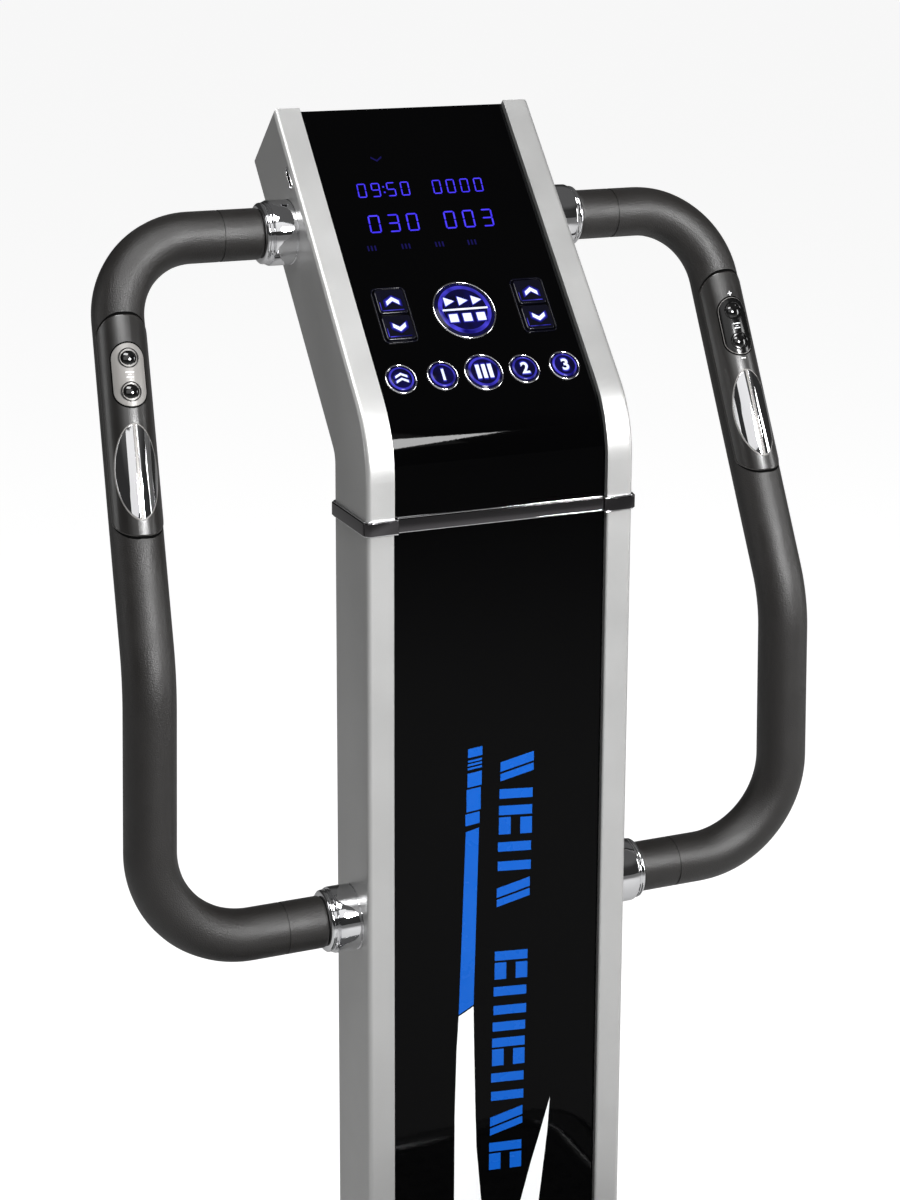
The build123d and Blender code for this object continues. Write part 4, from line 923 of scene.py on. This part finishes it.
blue = [slanted(-0.0215, -0.2086, -0.2007)]
blue += [slanted(-0.0217, z - 0.0009, z + 0.0009) for z in (-0.2120, -0.2152, -0.2186)]
blue += [slanted(-0.0219, -0.2351, -0.2226), slanted(-0.0227, -0.2570, -0.2370),
         slanted(-0.0236, -0.2693, -0.2589)]
blue += [[(-0.0354, -0.4425), (-0.0216, -0.4356), (-0.0176, -0.2735), (-0.0297, -0.2760)]]


def raked_bar(x, far_x, low, high, rake=0.003):
    """Bar across the panel whose far end sits lower by the rake."""
    return [(x, low), (far_x, low - rake), (far_x, high - rake), (x, high)]


block_left, block_wide, bar_tall = 0.0020, 0.031, 0.0085
block_drift = 0.0215                       # the blocks move this share of their height to the side


def title_blocks():
    """Plain blocks of raked bars, one under another."""
    rows = [(-0.2090, "climbing"), (-0.2420, "single"), (-0.2570, "footed"), (-0.2900, "double"),
            (-0.3230, "climbing"), (-0.3900, "footed"), (-0.4230, "double"), (-0.4560, "single"),
            (-0.4710, "footed"), (-0.5040, "double"), (-0.5370, "climbing"), (-0.5700, "footed")]
    shapes = []
    for high, kind in rows:
        x = block_left + block_drift * (high + 0.209)
        far_x = x + block_wide
        if kind == "climbing":
            shapes.append(raked_bar(x, far_x, high - 0.0175, high - 0.0090, -0.006))
            shapes.append(raked_bar(x, far_x, high - 0.0260, high - 0.0195, -0.006))
        else:
            shapes.append(raked_bar(x, far_x, high - bar_tall, high))
        if kind == "double":
            shapes.append(raked_bar(x, far_x, high - 0.0175 - bar_tall, high - 0.0175))
        if kind == "footed":
            shapes.append(raked_bar(x, x + 0.011, high - 0.0260, high - 0.0105, 0.001))
            shapes.append(raked_bar(x + 0.020, far_x, high - 0.0280, high - 0.0130, 0.001))
    return shapes


on_panel(blue + title_blocks(), "motif_blue", print_blue)
sweep = [(-0.0354, -0.4440), (-0.0373, -0.4760), (-0.0388, -0.5360), (-0.0390, -0.6180), (-0.0390, -0.8100)]
sweep += [(0.0300, -0.8100), (0.0120, -0.7300), (-0.0020, -0.6700), (-0.0131, -0.6236), (-0.0180, -0.5707),
          (-0.0195, -0.5247), (-0.0211, -0.4640), (-0.0216, -0.4372)]
wedge = [(0.0525, -0.5380), (0.0435, -0.5687), (0.0345, -0.5977), (0.0250, -0.6323), (0.0150, -0.6800),
         (0.0240, -0.7200), (0.0360, -0.6900), (0.0428, -0.6364), (0.0470, -0.6005), (0.0504, -0.5701)]
on_panel([sweep, wedge], "motif_white", print_white)

# ---- base: studded mat, trim ring, vents and screws ----
mat_low, mat_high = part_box("platform_mat")
deck_low, deck_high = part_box("platform_deck")
stud = bmesh.new()
stud_columns, stud_rows = 21, 13
stud_margin, stud_height = 0.030, 0.0012
stud_run = mat_high - mat_low - Vector((2 * stud_margin, 2 * stud_margin, 0))
for i in range(stud_columns):
    for j in range(stud_rows):
        x = mat_low.x + stud_margin + stud_run.x * i / (stud_columns - 1)
        y = mat_low.y + stud_margin + stud_run.y * j / (stud_rows - 1)
        place = Matrix.Translation((x, y, mat_high.z + stud_height / 2))
        bmesh.ops.create_cone(stud, cap_ends=True, segments=12, radius1=0.0070, radius2=0.0052,
                              depth=stud_height, matrix=place)
add_piece("mat_studs", stud, [mat_rubber], "platform", 40)


def flat_ring(low, high, inset, corner, wall, bottom, thick, edge):
    """Rounded rectangular ring lying flat, set in from a box's sides."""
    low, high = low + Vector((inset, inset, 0)), high - Vector((inset, inset, 0))
    bm = bmesh.new()
    wide, tall = high.x - low.x, high.y - low.y
    outline_face(bm, box_points(wide, tall, (low.x + high.x) / 2, (low.y + high.y) / 2), corner, 10)
    keep_rim(bm, wall)
    raise_plate(bm, thick, edge, 3)
    bmesh.ops.translate(bm, vec=(0, 0, bottom), verts=bm.verts)
    return bm


mat_border = flat_ring(mat_low, mat_high, 0.006, 0.030, 0.005, mat_high.z - 0.0002, 0.0014, 0.0006)
add_piece("mat_border", mat_border, [mat_rubber], "platform")
deck_trim = flat_ring(deck_low, deck_high, 0.0015, 0.038, 0.004, deck_high.z - 0.0004, 0.0016, 0.0006)
add_piece("deck_trim", deck_trim, [chrome], "platform")

# ---- back covers: louvres and screws ----
cover_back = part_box("column_back_cover")[1].y
head_depth = 0.076
back_face = axes_at(Vector((0, cover_back, 0)), Vector((-1, 0, 0)), Vector((0, 0, 1)), Vector((0, 1, 0)))
head_back = axes_at(head_corner - face_out * head_depth, Vector((-1, 0, 0)), face_up, -face_out)
hood_wide, hood_tall, hood_gap = 0.052, 0.0050, 0.0032
louvre_x, louvre_pitch = 0.032, 0.0115
screw_x = 0.102


def louvres(name, matrix, places):
    """Hooded slots in rows: a raised lip over a flat black strip, painted shade for the slot's opening."""
    hoods = shapes_mesh([box_points(hood_wide, hood_tall, x, y) for x, y in places], 0.0022, 0.0018, 0.0012)
    # Thin black strips under the hoods: painted shade where the slots would open.
    gap_shades = shapes_mesh([box_points(hood_wide - 0.003, hood_gap, x, y - 0.0040) for x, y in places],
                       0.0002, 0.0014)
    for bm, finish, slot_name, word in ((hoods, silver_plastic, "silver_plastic", "hoods"),
                                        (gap_shades, black_plastic, "black_plastic", "gap_shades")):
        add_piece(f"{name}_{word}", moved(bm, matrix), [finish], "root")


def louvre_places(lowest, rows):
    """Two columns of slots, upwards from the lowest."""
    return [(x, lowest + louvre_pitch * i) for x in (-louvre_x, louvre_x) for i in range(rows)]


louvres("motor_louvres", back_face, louvre_places(0.250, 9))
louvres("console_louvres", head_back, louvre_places(0.150, 6))
screw_profile = [(0.0, 0.0005), (0.0013, 0.0005), (0.0014, 0.0013), (0.0024, 0.0012), (0.0032, 0.0007),
                 (0.0035, 0.0), (0.0, 0.0)]
screws = []
for x in (-screw_x, screw_x):
    for matrix, heights in ((back_face, (0.190, 0.330, 0.520, 0.710, 0.925)),
                            (head_back, (0.030, 0.165, 0.310))):
        for height in heights:
            screws.append(moved(lathe(screw_profile, 24), matrix @ Matrix.Translation((x, height, 0))))
add_piece("cover_screws", merge_meshes(screws), [bright_steel], "root")

# ---- stage, light and camera ----
def by_ray(tree, camera, glossy, other):
    """Strength that differs for what is seen straight, what is mirrored and what only lights."""
    path = tree.nodes.new("ShaderNodeLightPath")
    level = other
    for ray, value in (("Is Glossy Ray", glossy), ("Is Camera Ray", camera)):
        mix = tree.nodes.new("ShaderNodeMix")
        for socket, source in (("A", level), ("B", value)):
            if isinstance(source, float):
                mix.inputs[socket].default_value = source
            else:
                tree.links.new(source, mix.inputs[socket])
        tree.links.new(path.outputs[ray], mix.inputs["Factor"])
        level = mix.outputs["Result"]
    return level


floor_mesh = bpy.data.meshes.new("floor")
bm = bmesh.new()
bmesh.ops.create_grid(bm, x_segments=1, y_segments=1, size=60.0)
bm.to_mesh(floor_mesh)
bm.free()
floor = bpy.data.objects.new("floor", floor_mesh)
bpy.context.scene.collection.objects.link(floor)
paper, paper_tree, paper_shader = new_finish("floor_paper")
paper_tone = blend_colour(paper_tree, grain(paper_tree, 2.0), (0.40, 0.40, 0.40), (0.42, 0.42, 0.42))
paper_tree.links.new(paper_tone, paper_shader.inputs["Base Color"])
paper_shader.inputs["Roughness"].default_value = 0.9
paper_shader.inputs["Specular IOR Level"].default_value = 0.0
paper_shader.inputs["Emission Color"].default_value = (1, 1, 1, 1)
paper_tree.links.new(by_ray(paper_tree, 0.90, 0.14, 0.0), paper_shader.inputs["Emission Strength"])
floor_mesh.materials.append(paper)

world = bpy.data.worlds.new("studio")
bpy.context.scene.world = world
world.use_nodes = True
studio = world.node_tree
direction = studio.nodes.new("ShaderNodeTexCoord")
split = studio.nodes.new("ShaderNodeSeparateXYZ")
studio.links.new(direction.outputs["Generated"], split.inputs["Vector"])
ceiling = studio.nodes.new("ShaderNodeMapRange")
ceiling.inputs["From Min"].default_value = 0.42
ceiling.inputs["From Max"].default_value = 0.62
ceiling.inputs["To Min"].default_value = 0.03
ceiling.inputs["To Max"].default_value = 0.10
studio.links.new(split.outputs["Z"], ceiling.inputs["Value"])
backdrop = studio.nodes["Background"]
backdrop.inputs["Color"].default_value = (1.0, 1.0, 1.0, 1)
studio.links.new(by_ray(studio, 1.0, ceiling.outputs["Result"], 0.075), backdrop.inputs["Strength"])


def softbox(name, middle, across, up, power):
    """Square soft light: its middle, and its two edges as vectors whose lengths are its size."""
    lamp = bpy.data.lights.new(name, "AREA")
    lamp.shape = "RECTANGLE"
    lamp.size, lamp.size_y = across.length, up.length
    lamp.energy = power
    holder = bpy.data.objects.new(name, lamp)
    wide = across.normalized()
    back = wide.cross(up.normalized()).normalized()
    holder.matrix_world = axes_at(middle, wide, back.cross(wide), back)
    holder.visible_camera = False
    bpy.context.scene.collection.objects.link(holder)
    return holder


def aimed_box(name, place, target, wide, tall, power):
    """Soft light at a place, facing a target, with its lower edge level."""
    back = (Vector(place) - Vector(target)).normalized()
    across = Vector((0, 0, 1)).cross(back).normalized()
    return softbox(name, Vector(place), across * wide, back.cross(across) * tall, power)


head_middle, machine_middle = (0.0, 0.1, 1.02), (0.0, 0.1, 0.9)

# The key light's near corner is where the bend in the console mirrors it as a short bright wedge.
key_corner = Vector((1.156, -2.267, 2.138))
key_side = 0.66
key_top = Vector((0.819, 0.0, -0.574)).normalized()
key_back = Vector((0.229, -0.917, 0.326)).normalized()
key_up = key_back.cross(key_top).normalized()
key_top = key_up.cross(key_back).normalized()
softbox("key_box", key_corner - (key_top + key_up) * key_side / 2, key_top * key_side, key_up * key_side, 96)
aimed_box("top_box", (-0.5, -0.75, 3.1), head_middle, 1.5, 0.8, 34)
aimed_box("right_box", (2.6, -0.9, 1.3), machine_middle, 0.6, 1.6, 20)
aimed_box("left_box", (-2.4, 0.9, 1.5), machine_middle, 0.5, 1.6, 6)
softbox("front_box", Vector((-0.58, -2.1, 2.60)), Vector((3.05, 0, 0)), Vector((0, 0, 1.80)), 15)

bpy.context.scene.view_settings.view_transform = "Standard"

camera_data = bpy.data.cameras.new("camera")
camera_data.lens = 74.0
camera_data.sensor_width = 36.0
camera_data.shift_y = -1 / 6
camera = bpy.data.objects.new("camera", camera_data)
camera.location = (-0.8129, -1.6912, 1.4862)
camera_turn, camera_tilt, camera_roll = radians(-23.161), radians(77.398), radians(0.221)
aim = Matrix.Rotation(camera_turn, 4, "Z") @ Matrix.Rotation(camera_tilt, 4, "X")
camera.rotation_euler = (aim @ Matrix.Rotation(camera_roll, 4, "Z")).to_euler()
bpy.context.scene.collection.objects.link(camera)
bpy.context.scene.camera = camera
